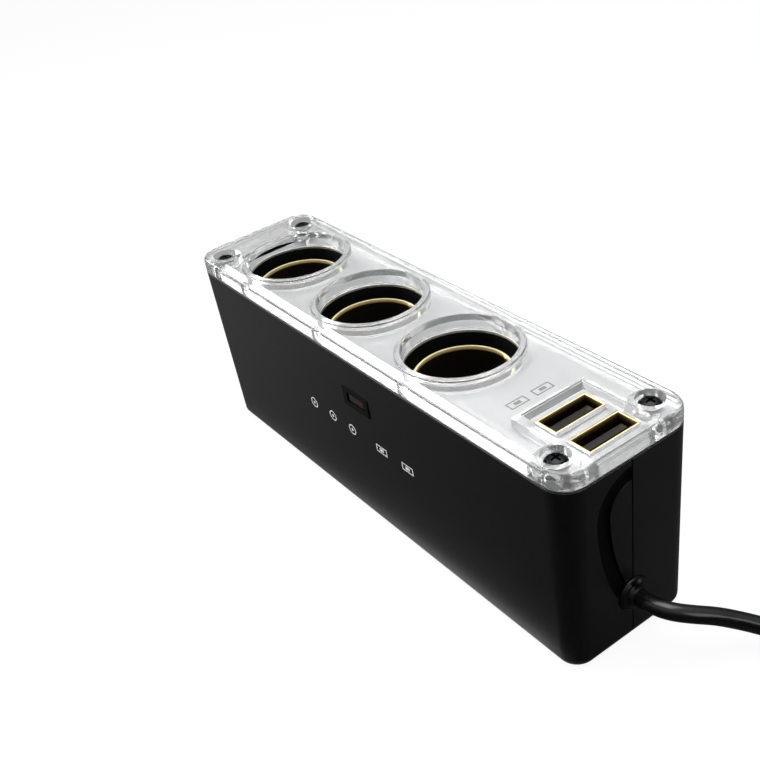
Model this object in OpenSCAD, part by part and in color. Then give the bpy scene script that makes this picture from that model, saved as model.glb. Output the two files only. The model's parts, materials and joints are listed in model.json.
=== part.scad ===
/* [Housing] */
// Distance of the first socket centre from the left end
left_room = 24; // [23:0.5:26]
// Distance from the last socket centre to the first charging port
port_room = 34; // [33:0.5:36]
// Distance from a socket's bore to the long sides of the housing
side_room = 6.7; // [6.4:0.1:8]
// Room under the sockets for the contacts and their strip
floor_room = 8.2; // [7.6:0.2:10]
// Radius of the four upright corners
corner_r = 5.6; // [5:0.2:6.4]
// Wall thickness of the two housing halves
wall = 2; // [1.6:0.1:2.2]
// How far each side leans in towards the bottom
draft = 1.1; // [0.6:0.1:1.4]
// Radius of the bottom edge
foot_r = 1.8; // [1:0.2:2.4]

/* [Clear cover and face plate] */
// Thickness of the clear cover
cover_t = 3.8; // [3:0.2:5]
// Rounding of the cover's top edge
cover_edge_r = 1.2; // [0.6:0.2:2]
// Thickness of the cover's top over its hollow
skin_t = 1.8; // [1.4:0.1:2.2]
// Height of the raised collar round each socket hole
collar_h = 0.4; // [0.3:0.1:1.2]
// Width of the ring wall round each socket hole
collar_w = 1.5; // [1.3:0.1:2.4]
// Thickness of the silver face plate
plate_t = 0.6; // [0.4:0.1:1]
// Distance of the cover screws from the ends of the housing
screw_end = 7; // [6.4:0.2:8]
// Distance of the cover screws from the sides of the housing
screw_side = 5; // [4.6:0.2:5.4]

/* [Sockets] */
// Inner radius of each metal socket shell
bore_r = 10.7; // [10.5:0.1:10.9]
// Radius of the opening in the cover and the plate
opening_r = 13; // [12.8:0.1:13.2]
// Distance between neighbouring socket centres
socket_pitch = 34; // [33:0.5:36]
// Distance of the shell's rim below the cover's flat top
rim_drop = 6.8; // [6:0.2:8]
// Depth of the socket from its rim to its insulating base
bore_depth = 36; // [34:0.5:37]
// Sheet thickness of the metal shell
shell_t = 0.5; // [0.4:0.1:0.7]

/* [Charging ports] */
// Distance of the outer port's centre from the right end
port_end = 7; // [6.6:0.2:8]
// Distance between the two port centres
port_pitch = 9; // [8.6:0.2:10]
// Width of a port's mouth
port_w = 5.1; // [5:0.05:5.3]
// Length of a port's mouth
port_l = 12.5; // [12.3:0.1:12.8]
// Distance of the mouths below the cover's flat top
port_drop = 1.4; // [1:0.2:2]

/* [Lamp] */
// Place of the lamp, from the middle between the second and the third socket
lamp_off = -2.3; // [-3:0.1:3]
// Distance of the lamp's centre below the clear cover
lamp_down = 11.1; // [10:0.1:13]
// Width of the lamp's bezel
lamp_w = 10.1; // [9:0.1:11]
// Height of the lamp's bezel
lamp_h = 4.9; // [4.4:0.1:6]

/* [Lead] */
// Diameter of the lead
cord_d = 3.8;
// Height of the lead's outlet in the right end
outlet_z = 12.1; // [11:0.1:13]

/* [Plug] */
// Radius of the plug's nose, which goes into a socket
nose_r = 10.4; // [10.2:0.1:10.5]
// Radius of the plug's grip
grip_r = 13; // [12.4:0.1:13]
// Length of the grip between the two strain reliefs and the nose
grip_l = 36; // [34:1:40]
// Length of the nose behind its cap
nose_l = 28; // [27:0.5:30]
// Length of the nose cap
cap_l = 6; // [5:0.5:8]
// Travel of the centre tip
tip_travel = 4; // [3:0.5:4.5]
// Travel of each side contact
side_travel = 1.1; // [0.8:0.1:1.2]
// Length of the fuse
fuse_l = 31.8; // [30:0.2:32]
// Radius of the fuse
fuse_r = 3.2; // [2.6:0.1:3.3]
// Length of the tip's spring at rest
spring_l = 16; // [14:0.5:20]

/* [Hidden] */
$fn = 48;

// Overrun of every cut past the face that it opens
cut = 1;
// Clearance between pieces that are fitted by hand
fit = 0.1;
// Clearance round anything that slides
slide_fit = 0.3;

// Outer size of the housing, and its levels
body_l = left_room + 2 * socket_pitch + port_room + port_pitch + port_end;
body_w = 2 * (bore_r + side_room);
shell_z = floor_room;
rim_z = shell_z + bore_depth;
top_z = rim_z + rim_drop;
body_h = top_z - cover_t;
plate_z = body_h - plate_t;

// Seam between the halves: its open width and depth, and the tongue that locates them
seam_w = 0.3;
seam_depth = 0.5;
tongue_in = 0.7;
tongue_t = 0.7;
tongue_h = 1;
foot_steps = 5;

// Screw places, screws and posts
screw_x = body_l / 2 - screw_end;
screw_y = body_w / 2 - screw_side;
screw_r = 1;
screw_l = 9;
head_r = 2.2;
head_h = 1.8;
cross_l = 2.6;
cross_w = 0.5;
cross_depth = 0.9;
recess_r = 3;
recess_depth = 2.2;
boss_w = 1.4;
post_r = 3;
seat_z = top_z - recess_depth;

// Cover: width of the rim round its hollow, rounding of the collars and window over the ports
pocket_in = 3;
pocket_depth = cover_t - skin_t;
collar_round = 0.3;
window_margin = 1.1;
window_bevel = 1.2;

// Face plate on top of the walls: its margin to the outline, and the slit near its left end
plate_margin = 0.4;
slit_w = 2;
slit_in = 1;
slit_l = 2 * screw_y - 2 * post_r;

// Socket sleeve, rolled rim of the shell and insulating base
sleeve_flange_w = 1;
sleeve_flange_r = opening_r + sleeve_flange_w;
sleeve_flange_t = 1.2;
sleeve_l = 11;
sleeve_wall = 1;
rim_lip = 0.8;
rim_r = bore_r + rim_lip;
rim_t = 0.8;
shell_r = bore_r + shell_t;
sleeve_r = rim_r + fit + sleeve_wall;
base_t = 2.4;
base_boss_h = 1;
base_z = shell_z - base_boss_h - base_t;
base_lip = 1.4;
base_r = shell_r + base_lip;
crimp = 0.2;
socket_x = [for (i = [0:2]) -body_l / 2 + left_room + i * socket_pitch];

// Centre contact: pad, dome and stem, and the strip under the bases
pad_r = 4;
pad_t = 0.6;
dome_r = 2.4;
dome_h = 1;
stem_r = 1.2;
crimp_z = shell_z + pad_t + dome_h + slide_fit;
strip_w = 6;
strip_t = 0.6;
strip_z = base_z - strip_t;
rivet_r = 2;
rivet_t = 0.5;

// Negative strip, soldered along the rear of the shells
bond_h = 4;
bond_t = 0.5;
bond_up = 5.8;
bond_z = shell_z + bond_up;
bond_x0 = socket_x[0] - strip_w / 2;
bond_x1 = socket_x[2] + 1.5 * strip_w;

// Ribs and shelves moulded inside the halves
rib_t = 1.6;
rib_from = 4.5;
rib_off = 5;
shelf_l = 9;
shelf_t = 1.6;
board_rest_t = 3;

// Charging ports and their board
port_t = 0.3;
port_body_h = 14.2;
port_top = top_z - port_drop;
port_x = [for (i = [0:1]) body_l / 2 - port_end - (1 - i) * port_pitch];
port_base_h = 3;
tongue_thick = 1.8;
tongue_gap = 1.4;
tongue_len = 9.6;
tongue_width = 11.1;
pin_w = 1;
pin_t = 0.2;
pin_pitch = 2.3;
pin_len = 8;
board_t = 1.6;
board_z = port_top - port_body_h - board_t;
board_back = 17;
board_w = body_w - 2 * wall - 2 * draft - 2 * slide_fit;
board_neck = 2 * (screw_y - post_r - slide_fit);
board_x0 = port_x[0] - board_back;
board_x1 = screw_x - post_r - slide_fit;
board_x2 = port_x[1] + port_w / 2 + port_t + fit;
coil_core_r = 3;
coil_core_h = 5;
coil_core_w = 2.6;
can_r = 3.1;
can_h = 9;
chip_l = 5;
chip_w = 4;
chip_h = 1.5;

// Lamp
bezel_flange = 0.6;
bezel_stand = 0.25;
bezel_margin = 0.5;
lens_w = 6.5;
lens_h = 2.3;
lens_set = 0.3;
bulb_r = 1.5;
bulb_l = 5;
lamp_x = socket_x[1] + socket_pitch / 2 + lamp_off;
lamp_z = body_h - lamp_down;
front_at_lamp = -(body_w / 2 - draft * (1 - lamp_z / body_h));

// Crescent groove in the right end of the front half
groove_from_top = 2;
groove_top = body_h - groove_from_top;
groove_r = 9.4;
groove_w = 3.4;
groove_depth = 0.8;
groove_long_r = 52;
groove_above_outlet = 1.3;
groove_low = outlet_z + groove_above_outlet;

// Gland in the right end
gland_r = 4;
gland_t = 1.2;
gland_neck_r = 2.9;
gland_nose_r = 2.9;
gland_nose_l = 1;
gland_spot = 0.3;
gland_inner_t = 1.4;
end_at_outlet = body_l / 2 - draft * (1 - outlet_z / body_h);
gland_x = end_at_outlet - gland_spot;
gland_nose_x = gland_x + gland_t + gland_nose_l;
wire_r = 0.9;
wire_sides = 6;
wire_split = 1.3;

// Lead: rings of the tubes, the coil of its put-away length and the tie
cord_r = cord_d / 2;
run_sides = 8;
coil_sides = 6;
coil_rings = 24;
coil_turns = 6;
coil_layers = 4;
coil_gap = 0.6;
coil_mid_r = 19;
coil_place = [128.5, 6.8];
coil_lift = 0.6;
coil_step = cord_d + coil_gap;
layer_turns = coil_turns / coil_layers;
coil_in_r = coil_mid_r - coil_step * layer_turns / 2;
coil_out_r = coil_mid_r + coil_step * layer_turns / 2;
climb_turns = 0.5;
tie_w = 5;
tie_t = 0.4;
tie_gap = 0.2;

// Route of the lead from the gland to the coil
run_route = [
  [72.1, 0, 12.1], [73, 0, 12.1], [75, 0.2, 12.1], [77, 0.9, 11.9], [78.9, 2.2, 11.5], [80.5, 4, 10.9],
  [82, 6.2, 10.1], [83.6, 8.9, 9], [85.6, 12, 7.4], [88.4, 15.4, 5.6], [92, 18.6, 4], [96.4, 21.6, 2.8],
  [101.5, 24.2, 2.1], [106, 26.2, 1.9], [111, 27.9, 2], [116, 28.8, 2.3],
  [121, 29.1, 2.5], [124.7, 29.1, 2.5]
];
// Route of the lead from the coil to the plug
tail_route = [
  [132.3, 29.1, 15.7], [136, 29.1, 15.7], [138.2, 28.9, 15.7], [140.4, 28.1, 15.7], [142.3, 27, 15.7],
  [144, 25.4, 15.7], [145.2, 23.6, 15.6], [146.5, 21.7, 15.2], [148.2, 20.1, 14.6], [150.1, 19, 14],
  [152.3, 18.2, 13.4], [154.5, 18, 13], [155.5, 18, 13]
];

// Plug, measured along its axis from the cord end of its strain relief
plug_place = [155.5, 18];
relief_l = 17;
relief_r0 = 2.9;
relief_r1 = 4.4;
relief_neck_r = 3.4;
relief_flange_r = 5.6;
relief_flange_t = 2;
relief_in = 3;
relief_rings = 4;
relief_groove = 0.7;
grip_u = relief_l - relief_flange_t - relief_in;
grip_u1 = grip_u + grip_l;
nose_u = grip_u1 + nose_l;
cap_u = nose_u + cap_l;
grip_line_shares = [[0.56, 0], [0.76, 0.1], [0.94, 0.3], [1, 0.5], [1, 0.8], [0.95, 0.95], [0.9, 1]];
grooves_from_share = 0.52;
grip_grooves = 5;
groove_step = 3.2;
groove_cut_r = 0.7;
cap_wall_t = 2.5;
cap_sleeve_r = 8.6;
cap_sleeve_t = 1.2;
cap_bore_r = cap_sleeve_r - cap_sleeve_t;
cap_front_r = 8.2;
cap_rim_r = 10.2;
cap_steps_share = [0.4, 0.8];
fuse_room = 1.2;
fuse_bore_r = fuse_r + fuse_room;
pin_r = 3.9;
pin_rest = 0.5;
pin_u = cap_u + pin_rest + tip_travel;
pin_round = 1.6;
collar_u = cap_u - cap_wall_t - fit;
tip_collar_r = cap_bore_r - 2 * slide_fit;
tip_collar_t = 3;
fuse_u = collar_u - tip_collar_t;
cap_sleeve_u = fuse_u - tip_travel - tip_collar_t;
fuse_cap_l = 6.4;
fuse_cap_t = 0.25;
fuse_glass_r = fuse_r - fuse_cap_t;
contact_t = 1;
spring_u = fuse_u - fuse_l - spring_l;
web_t = 1;
web_hole_r = 2;
wire_room_r = 8.6;
wire_room_u = spring_u - contact_t - web_t;
spring_wire_r = 0.35;
spring_r = 2.6;
spring_turns = 6;
spring_rings = 8;
boss_back = 5;
boss_u = relief_l + boss_back;
boss_r = 2.8;
plug_screw_r = 1.1;
plug_screw_l = 13;
plug_head_r = 2.1;
plug_head_h = 1.4;
plug_head_seat = 9;
leaf_back = 18;
leaf_u = nose_u - leaf_back;
leaf_half = 6;
leaf_top = nose_r + fit + side_travel;
leaf_foot = 8.6;
leaf_t = 0.5;
leaf_w = 4.6;
leaf_steps = 10;
lip_l = 0.9;
lip_gap = 0.6;
slot_half = leaf_half - lip_l;
slot_lip_r = leaf_foot + lip_gap;
slot_floor_r = leaf_foot - leaf_t - side_travel - slide_fit;

// Inset of the outer face at a height, from the outline at the top
function lean(z) = draft * (1 - z / body_h);

// A side of a block as pairs of inset and height, with the wall's own inset added
function side_between(inset, z0, z1) = [[inset + lean(z0), z0], [inset + lean(z1), z1]];

// The outer side up to the face plate, with its rounded foot
function outer_side() = concat(
  [for (i = [0:foot_steps]) let (a = 90 * i / foot_steps)
    [draft + foot_r * (1 - sin(a)), foot_r * (1 - cos(a))]],
  [[lean(plate_z), plate_z]]);

// Half of a cross-section that reaches out to a given distance
function half_section(reach, side) = concat(
  [[0, side[0][1]]],
  [for (p = side) [reach - p[0], p[1]]],
  [[0, side[len(side) - 1][1]]]);

// A whole cross-section, the half and its mirror image
function full_section(reach, side) = concat(
  [for (p = side) [reach - p[0], p[1]]],
  [for (i = [len(side) - 1:-1:0]) [side[i][0] - reach, side[i][1]]]);

// Rings of a tube of n sides along a path
function unit(v) = v / norm(v);
function heading(path, i) = unit(
  (i < len(path) - 1 ? unit(path[i + 1] - path[i]) : [0, 0, 0])
  + (i > 0 ? unit(path[i] - path[i - 1]) : [0, 0, 0]));
function across(h) = unit(cross(h, [0, 0, 1]));
function tube_ring(p, h, r, n) = let (u = across(h), v = cross(u, h))
  [for (k = [0:n - 1]) let (a = 360 * k / n + 90) p + r * (cos(a) * u + sin(a) * v)];
function tube_points(path, r, n) = [
  for (i = [0:len(path) - 1]) each tube_ring(path[i], heading(path, i), r, n)];
function tube_faces(m, n) = concat(
  [for (k = [1:n - 2]) [0, k, k + 1]],
  [for (k = [1:n - 2]) [(m - 1) * n, (m - 1) * n + k + 1, (m - 1) * n + k]],
  [for (i = [0:m - 2], k = [0:n - 1]) [i * n + k, (i + 1) * n + (k + 1) % n, i * n + (k + 1) % n]],
  [for (i = [0:m - 2], k = [0:n - 1]) [i * n + k, (i + 1) * n + k, (i + 1) * n + (k + 1) % n]]);

// Path of the coil: it spirals in and out, and climbs a layer where it turns back
function ease(x) = let (c = min(max(x, 0), 1)) c * c * (3 - 2 * c);
function layer_share(t) = let (u = t / layer_turns, k = floor(u), f = u - k)
  k % 2 == 0 ? 1 - f : f;
function layer_height(t, j = 1) = j >= coil_layers ? 0
  : ease((t - j * layer_turns + climb_turns / 2) / climb_turns) + layer_height(t, j + 1);
function coil_point(t) = let (
  r = coil_in_r + (coil_out_r - coil_in_r) * layer_share(t),
  a = 90 - 360 * t)
  [coil_place[0] + r * cos(a), coil_place[1] + r * sin(a),
   coil_lift + cord_r + coil_step * layer_height(t)];
coil_loops = [for (i = [0:coil_turns * coil_rings]) coil_point(i / coil_rings)];
coil_first = coil_loops[0];
coil_last = coil_loops[coil_turns * coil_rings];
coil_path = concat([coil_first - [cord_d, 0, 0]], coil_loops, [coil_last + [cord_d, 0, 0]]);
coil_least = min([for (i = [0:len(coil_loops) - 1], j = [i + coil_rings / 2:1:len(coil_loops) - 1])
  norm(coil_loops[i] - coil_loops[j])]);
echo(coil_least_gap = coil_least - cord_d);

// Path of the tip's spring, along the plug's own axis
function spring_point(t, r, z0, z1, n) = [r * cos(360 * t * n), r * sin(360 * t * n), z0 + (z1 - z0) * t];
spring_end = fuse_u - fuse_l - spring_wire_r;
spring_path = [for (i = [0:spring_turns * spring_rings])
  spring_point(i / (spring_turns * spring_rings), spring_r, spring_u + spring_wire_r, spring_end, spring_turns)];
spring_least = (spring_end - spring_u - spring_wire_r) / spring_turns - 2 * spring_wire_r;
echo(spring_least_gap = spring_least);

// A block with the housing's outline, from the pairs of inset and height of its side
module outline_block(side) {
  rotate([90, 0, 90])
    linear_extrude(body_l - 2 * corner_r, center = true)
      polygon(full_section(body_w / 2, side));
  for (s = [0, 1])
    mirror([s, 0, 0])
      translate([body_l / 2 - corner_r, 0, 0])
        rotate([90, 0, 0])
          linear_extrude(body_w - 2 * corner_r, center = true)
            polygon(half_section(corner_r, side));
  for (sx = [0, 1], sy = [0, 1])
    mirror([sx, 0, 0])
      mirror([0, sy, 0])
        translate([body_l / 2 - corner_r, body_w / 2 - corner_r, 0])
          rotate_extrude(angle = 90)
            polygon(half_section(corner_r, side));
}

// Everything on one side of the seam: s is -1 for the front and 1 for the rear
module half_space(s) {
  translate([-body_l, s < 0 ? -body_w : 0, -cut])
    cube([2 * body_l, body_w, body_h + 2 * cut]);
}

module tube(path, r, n) {
  polyhedron(tube_points(path, r, n), tube_faces(len(path), n), convexity = 10);
}

// A tube of six sides along the plug's axis, with its rings set from that axis
module spring_tube(path, r) {
  m = len(path);
  n = wire_sides;
  points = [for (i = [0:m - 1]) let (h = heading(path, i), u = unit([path[i][0], path[i][1], 0]), v = cross(h, u))
    for (k = [0:n - 1]) path[i] + r * (cos(360 * k / n) * u + sin(360 * k / n) * v)];
  polyhedron(points, tube_faces(m, n), convexity = 10);
}

module at_sockets() {
  for (x = socket_x)
    translate([x, 0, 0])
      children();
}

module at_screws() {
  for (sx = [-1, 1], sy = [-1, 1])
    translate([sx * screw_x, sy * screw_y, 0])
      children();
}

// Ring inside the wall, for the tongue of one half and the groove of the other
module seam_ring(outer, inner, from, to) {
  intersection() {
    difference() {
      outline_block(side_between(outer, outer, body_h - cover_t));
      outline_block(side_between(inner, inner, body_h));
    }
    translate([-body_l, from, 0])
      cube([2 * body_l, to - from, body_h]);
  }
}

// Plain half of the housing with its posts, ribs and shelves
module half_housing(s) {
  difference() {
    intersection() {
      outline_block(outer_side());
      half_space(s);
    }
    outline_block(concat(side_between(wall, wall, body_h), [[wall, body_h + cut]]));
    difference() {
      translate([-body_l, -seam_w / 2, -cut])
        cube([2 * body_l, seam_w, body_h + 2 * cut]);
      outline_block(concat(side_between(seam_depth, seam_depth, body_h), [[seam_depth, body_h + 2 * cut]]));
    }
  }
  for (sx = [-1, 1])
    translate([sx * screw_x, s * screw_y, wall / 2])
      difference() {
        cylinder(h = plate_z - wall / 2, r = post_r);
        translate([0, 0, seat_z - screw_l - cut - wall / 2])
          cylinder(h = body_h, r = screw_r + fit / 2);
      }
  for (x = socket_x) {
    for (o = [-1, 1])
      translate([x + o * rib_off - rib_t / 2, s > 0 ? rib_from : -body_w / 2 + wall + draft / 2, wall / 2])
        cube([rib_t, body_w / 2 - wall - draft / 2 - rib_from, base_z - wall / 2]);
    translate([x - shelf_l / 2, s > 0 ? sleeve_r + slide_fit : -body_w / 2 + wall / 2, plate_z - sleeve_flange_t - shelf_t])
      cube([shelf_l, body_w / 2 - wall / 2 - sleeve_r - slide_fit, shelf_t]);
  }
  for (x = [board_x0 + board_t, board_x1 - shelf_l])
    translate([x, s > 0 ? board_w / 2 - wall : -body_w / 2 + wall / 2 + draft / 2, board_z - board_rest_t])
      cube([shelf_l - board_t, body_w / 2 - wall / 2 - draft / 2 - board_w / 2 + wall, board_rest_t]);
}

// Hole and flat spot for the gland, shared by the halves
module gland_cut() {
  translate([gland_x - 2 * wall, 0, outlet_z])
    rotate([0, 90, 0])
      cylinder(h = 4 * wall, r = gland_neck_r + fit / 2);
  translate([gland_x, 0, outlet_z])
    rotate([0, 90, 0])
      cylinder(h = wall, r = gland_r + fit);
}

function arc_points(c, r, a0, a1, n) = [for (i = [0:n]) let (a = a0 + (a1 - a0) * i / n)
  [c[0] + r * cos(a), c[1] + r * sin(a)]];

// Leaf-shaped area bounded by the seam, a short arc above and a long arc below
module leaf_area(r, long_r) {
  c = groove_top - groove_r;
  low = asin((c - groove_low) / long_r);
  polygon(concat(
    [[0, groove_low]],
    [[0, c + r]],
    arc_points([0, c], r, 90, 180, 8),
    [for (i = [1:10]) let (a = 180 + low * i / 10) [-r + long_r + long_r * cos(a), c + long_r * sin(a)]]));
}

module crescent_groove() {
  translate([body_l / 2 - groove_depth - draft, 0, 0])
    rotate([90, 0, 90])
      linear_extrude(groove_depth + draft + cut)
        difference() {
          leaf_area(groove_r, groove_long_r);
          leaf_area(groove_r - groove_w, groove_long_r - groove_w);
        }
}

module front_shell() {
  color([0.06, 0.06, 0.065])
    difference() {
      union() {
        half_housing(-1);
        seam_ring(tongue_in, tongue_in + tongue_t, -seam_w, tongue_h);
      }
      gland_cut();
      intersection() {
        crescent_groove();
        difference() {
          half_space(-1);
          outline_block(side_between(groove_depth, 0, body_h + 2 * cut));
        }
      }
      translate([lamp_x - lamp_w / 2 + bezel_margin - fit, front_at_lamp - cut, lamp_z - lamp_h / 2 + bezel_margin - fit])
        cube([lamp_w - 2 * bezel_margin + 2 * fit, wall + 2 * cut, lamp_h - 2 * bezel_margin + 2 * fit]);
      translate([lamp_x - lamp_w / 2 - fit, front_at_lamp - cut, lamp_z - lamp_h / 2 - fit])
        cube([lamp_w + 2 * fit, cut + bezel_flange - bezel_stand, lamp_h + 2 * fit]);
    }
}

module rear_shell() {
  color([0.06, 0.06, 0.065])
    difference() {
      half_housing(1);
      seam_ring(tongue_in - fit, tongue_in + tongue_t + fit, -cut, tongue_h + fit);
      gland_cut();
    }
}

// Bevelled recess round the two port mouths, as two trapezoid prisms crossed
module port_window() {
  x0 = port_x[0] - port_w / 2 - port_t - window_margin;
  x1 = port_x[1] + port_w / 2 + port_t + window_margin;
  y1 = port_l / 2 + port_t + window_margin / 2;
  rise = port_drop + cut;
  spread = window_bevel * rise / port_drop;
  intersection() {
    translate([0, y1 + 2 * spread, port_top])
      rotate([90, 0, 0])
        linear_extrude(2 * y1 + 4 * spread)
          polygon([[x0, 0], [x1, 0], [x1 + spread, rise], [x0 - spread, rise]]);
    translate([x0 - 2 * spread, 0, port_top])
      rotate([90, 0, 90])
        linear_extrude(x1 - x0 + 4 * spread)
          polygon([[-y1, 0], [y1, 0], [y1 + spread, rise], [-y1 - spread, rise]]);
  }
}

// Solid block of the cover round the window
module port_block() {
  x0 = port_x[0] - port_w / 2 - port_t - window_margin - window_bevel - boss_w;
  y1 = port_l / 2 + port_t + window_margin / 2 + window_bevel + boss_w;
  translate([x0, -y1, 0])
    cube([body_l / 2 - x0, 2 * y1, top_z]);
}

module port_holes(gap, z0, z1) {
  for (x = port_x)
    translate([x - port_w / 2 - port_t - gap, -port_l / 2 - port_t - gap, z0])
      cube([port_w + 2 * port_t + 2 * gap, port_l + 2 * port_t + 2 * gap, z1 - z0]);
}

module collar() {
  rotate_extrude()
    polygon(concat(
      [[opening_r, top_z - cover_t / 2], [opening_r + collar_w, top_z - cover_t / 2]],
      [for (a = [0:30:90]) [opening_r + collar_w - collar_round * (1 - cos(a)), top_z + collar_h - collar_round * (1 - sin(a))]],
      [for (a = [90:30:180]) [opening_r + collar_round * (1 + cos(a)), top_z + collar_h - collar_round * (1 - sin(a))]]));
}

// Ring walls round the sockets; the first is open on the side of the plate's slit
module ring_walls() {
  difference() {
    at_sockets()
      cylinder(h = top_z, r = opening_r + collar_w);
    translate([-body_l / 2, -slit_l / 2, -cut])
      cube([socket_x[0] + body_l / 2, slit_l, top_z + 2 * cut]);
  }
}

module clear_cover() {
  color([0.9, 0.93, 0.95, 0.4])
    difference() {
      union() {
        outline_block(concat([[0, body_h]],
          [for (a = [0:22.5:90]) [cover_edge_r * (1 - cos(a)), top_z - cover_edge_r * (1 - sin(a))]]));
        at_sockets()
          collar();
      }
      difference() {
        outline_block([[pocket_in, body_h - cut], [pocket_in, body_h + pocket_depth]]);
        ring_walls();
        at_screws()
          cylinder(h = top_z, r = recess_r + boss_w);
        port_block();
      }
      at_sockets()
        cylinder(h = top_z + 2 * collar_h, r = opening_r);
      at_screws() {
        cylinder(h = top_z + cut, r = screw_r + slide_fit);
        translate([0, 0, seat_z])
          cylinder(h = recess_depth + cut, r = recess_r);
      }
      port_window();
      port_holes(fit, body_h - cut, top_z);
    }
}

module face_plate() {
  color([0.78, 0.79, 0.8])
    difference() {
      outline_block([[plate_margin, plate_z], [plate_margin, body_h]]);
      at_sockets()
        translate([0, 0, plate_z - cut])
          cylinder(h = plate_t + 2 * cut, r = opening_r);
      at_screws()
        translate([0, 0, plate_z - cut])
          cylinder(h = plate_t + 2 * cut, r = screw_r + slide_fit);
      port_holes(slide_fit, plate_z - cut, body_h + cut);
      translate([-screw_x + slit_in - slit_w / 2, -slit_l / 2, plate_z - cut])
        cube([slit_w, slit_l, plate_t + 2 * cut]);
    }
}

module screw(r, l, hr, hh) {
  translate([0, 0, -l])
    cylinder(h = l, r = r);
  difference() {
    rotate_extrude()
      polygon(concat([[0, 0], [hr, 0], [hr, hh / 2]],
        [for (a = [15:25:90]) [hr * cos(a), hh / 2 + hh / 2 * sin(a)]], [[0, hh]]));
    for (q = [0, 90])
      rotate([0, 0, q])
        translate([-cross_l / 2, -cross_w / 2, hh - cross_depth])
          cube([cross_l, cross_w, cross_depth + cut]);
  }
}

module cover_screws() {
  color([0.16, 0.16, 0.17])
    at_screws()
      translate([0, 0, seat_z])
        screw(screw_r, screw_l, head_r, head_h);
}

module socket_sleeve(i) {
  color([0.03, 0.03, 0.03])
    translate([socket_x[i], 0, 0])
      rotate_extrude()
        polygon([
          [opening_r, plate_z], [sleeve_flange_r, plate_z], [sleeve_flange_r, plate_z - sleeve_flange_t],
          [sleeve_r, plate_z - sleeve_flange_t], [sleeve_r, plate_z - sleeve_l],
          [shell_r + fit, plate_z - sleeve_l], [shell_r + fit, rim_z - rim_t],
          [rim_r + fit, rim_z - rim_t], [rim_r + fit, rim_z]
        ]);
}

module socket_shell(i) {
  color([0.8, 0.66, 0.34])
    translate([socket_x[i], 0, 0])
      rotate_extrude()
        polygon(concat(
          [[bore_r, crimp_z], [bore_r - crimp, crimp_z], [bore_r - crimp, shell_z - base_boss_h],
            [shell_r, shell_z - base_boss_h], [shell_r, rim_z - rim_t], [rim_r, rim_z - rim_t]],
          [for (a = [0:30:90]) [rim_r - rim_t / 2 * (1 - cos(a)), rim_z - rim_t / 2 * (1 - sin(a))]],
          [[bore_r, rim_z]]));
}

module socket_base(i) {
  color([0.1, 0.09, 0.08])
    translate([socket_x[i], 0, base_z])
      difference() {
        union() {
          cylinder(h = base_t, r = base_r);
          cylinder(h = base_t + base_boss_h, r = bore_r - crimp - fit);
        }
        translate([0, 0, -cut])
          cylinder(h = base_t + base_boss_h + 2 * cut, r = stem_r + fit);
      }
}

module centre_contact(i) {
  color([0.82, 0.7, 0.4])
    translate([socket_x[i], 0, 0]) {
      translate([0, 0, strip_z - rivet_t])
        cylinder(h = rivet_t, r = rivet_r);
      translate([0, 0, strip_z - rivet_t])
        cylinder(h = shell_z - strip_z + rivet_t + pad_t, r = stem_r);
      translate([0, 0, shell_z])
        rotate_extrude()
          polygon(concat([[0, 0], [pad_r, 0], [pad_r, pad_t], [dome_r, pad_t]],
            [for (a = [15:25:90]) [dome_r * cos(a), pad_t + dome_h * sin(a)]], [[0, pad_t + dome_h]]));
    }
}

module positive_strip() {
  color([0.8, 0.62, 0.3])
    difference() {
      translate([socket_x[0] - strip_w / 2, -strip_w / 2, strip_z])
        cube([socket_x[2] + base_r + gland_r - socket_x[0] + strip_w / 2, strip_w, strip_t]);
      at_sockets()
        translate([0, 0, strip_z - cut])
          cylinder(h = strip_t + 2 * cut, r = stem_r + fit);
    }
}

module negative_strip() {
  color([0.7, 0.7, 0.68])
    translate([bond_x0, shell_r + fit, bond_z])
      cube([bond_x1 - bond_x0, bond_t, bond_h]);
}

// Wires from the gland to the strips and up to the board
module positive_wire() {
  start = [gland_x - wall - gland_inner_t - gland_t, -wire_split, outlet_z];
  color([0.7, 0.08, 0.06])
    tube([start, start - [gland_r, 0, 0], start - [3 * gland_r, 0, gland_r],
      [socket_x[2] + base_r + gland_r, -wire_split, strip_z + strip_t + wire_r],
      [socket_x[2] + base_r + fit, -wire_split, strip_z + strip_t + wire_r]], wire_r, wire_sides);
}

module negative_wire() {
  start = [gland_x - wall - gland_inner_t - gland_t, wire_split, outlet_z];
  color([0.05, 0.05, 0.05])
    tube([start, start - [gland_r, 0, 0],
      [socket_x[2] + shell_r + 2 * gland_r, shell_r, bond_z + bond_h / 2],
      [bond_x1 + gland_r, shell_r + fit + bond_t / 2, bond_z + bond_h / 2],
      [bond_x1, shell_r + fit + bond_t / 2, bond_z + bond_h / 2]], wire_r, wire_sides);
}

module circuit_board() {
  color([0.06, 0.32, 0.16])
    translate([0, 0, board_z])
      linear_extrude(board_t)
        polygon([
          [board_x0, -board_w / 2], [board_x1, -board_w / 2], [board_x1, -board_neck / 2],
          [board_x2, -board_neck / 2], [board_x2, board_neck / 2], [board_x1, board_neck / 2],
          [board_x1, board_w / 2], [board_x0, board_w / 2]
        ]);
}

module inductor() {
  color([0.65, 0.35, 0.16])
    translate([port_x[0], 0, board_z - coil_core_h])
      rotate_extrude()
        translate([coil_core_r, 0])
          square([coil_core_w, coil_core_h]);
}

module capacitors() {
  color([0.12, 0.14, 0.3])
    for (s = [-1, 1])
      translate([board_x0 + can_r + board_t, s * 2 * can_r, board_z - can_h])
        cylinder(h = can_h, r = can_r);
}

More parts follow.
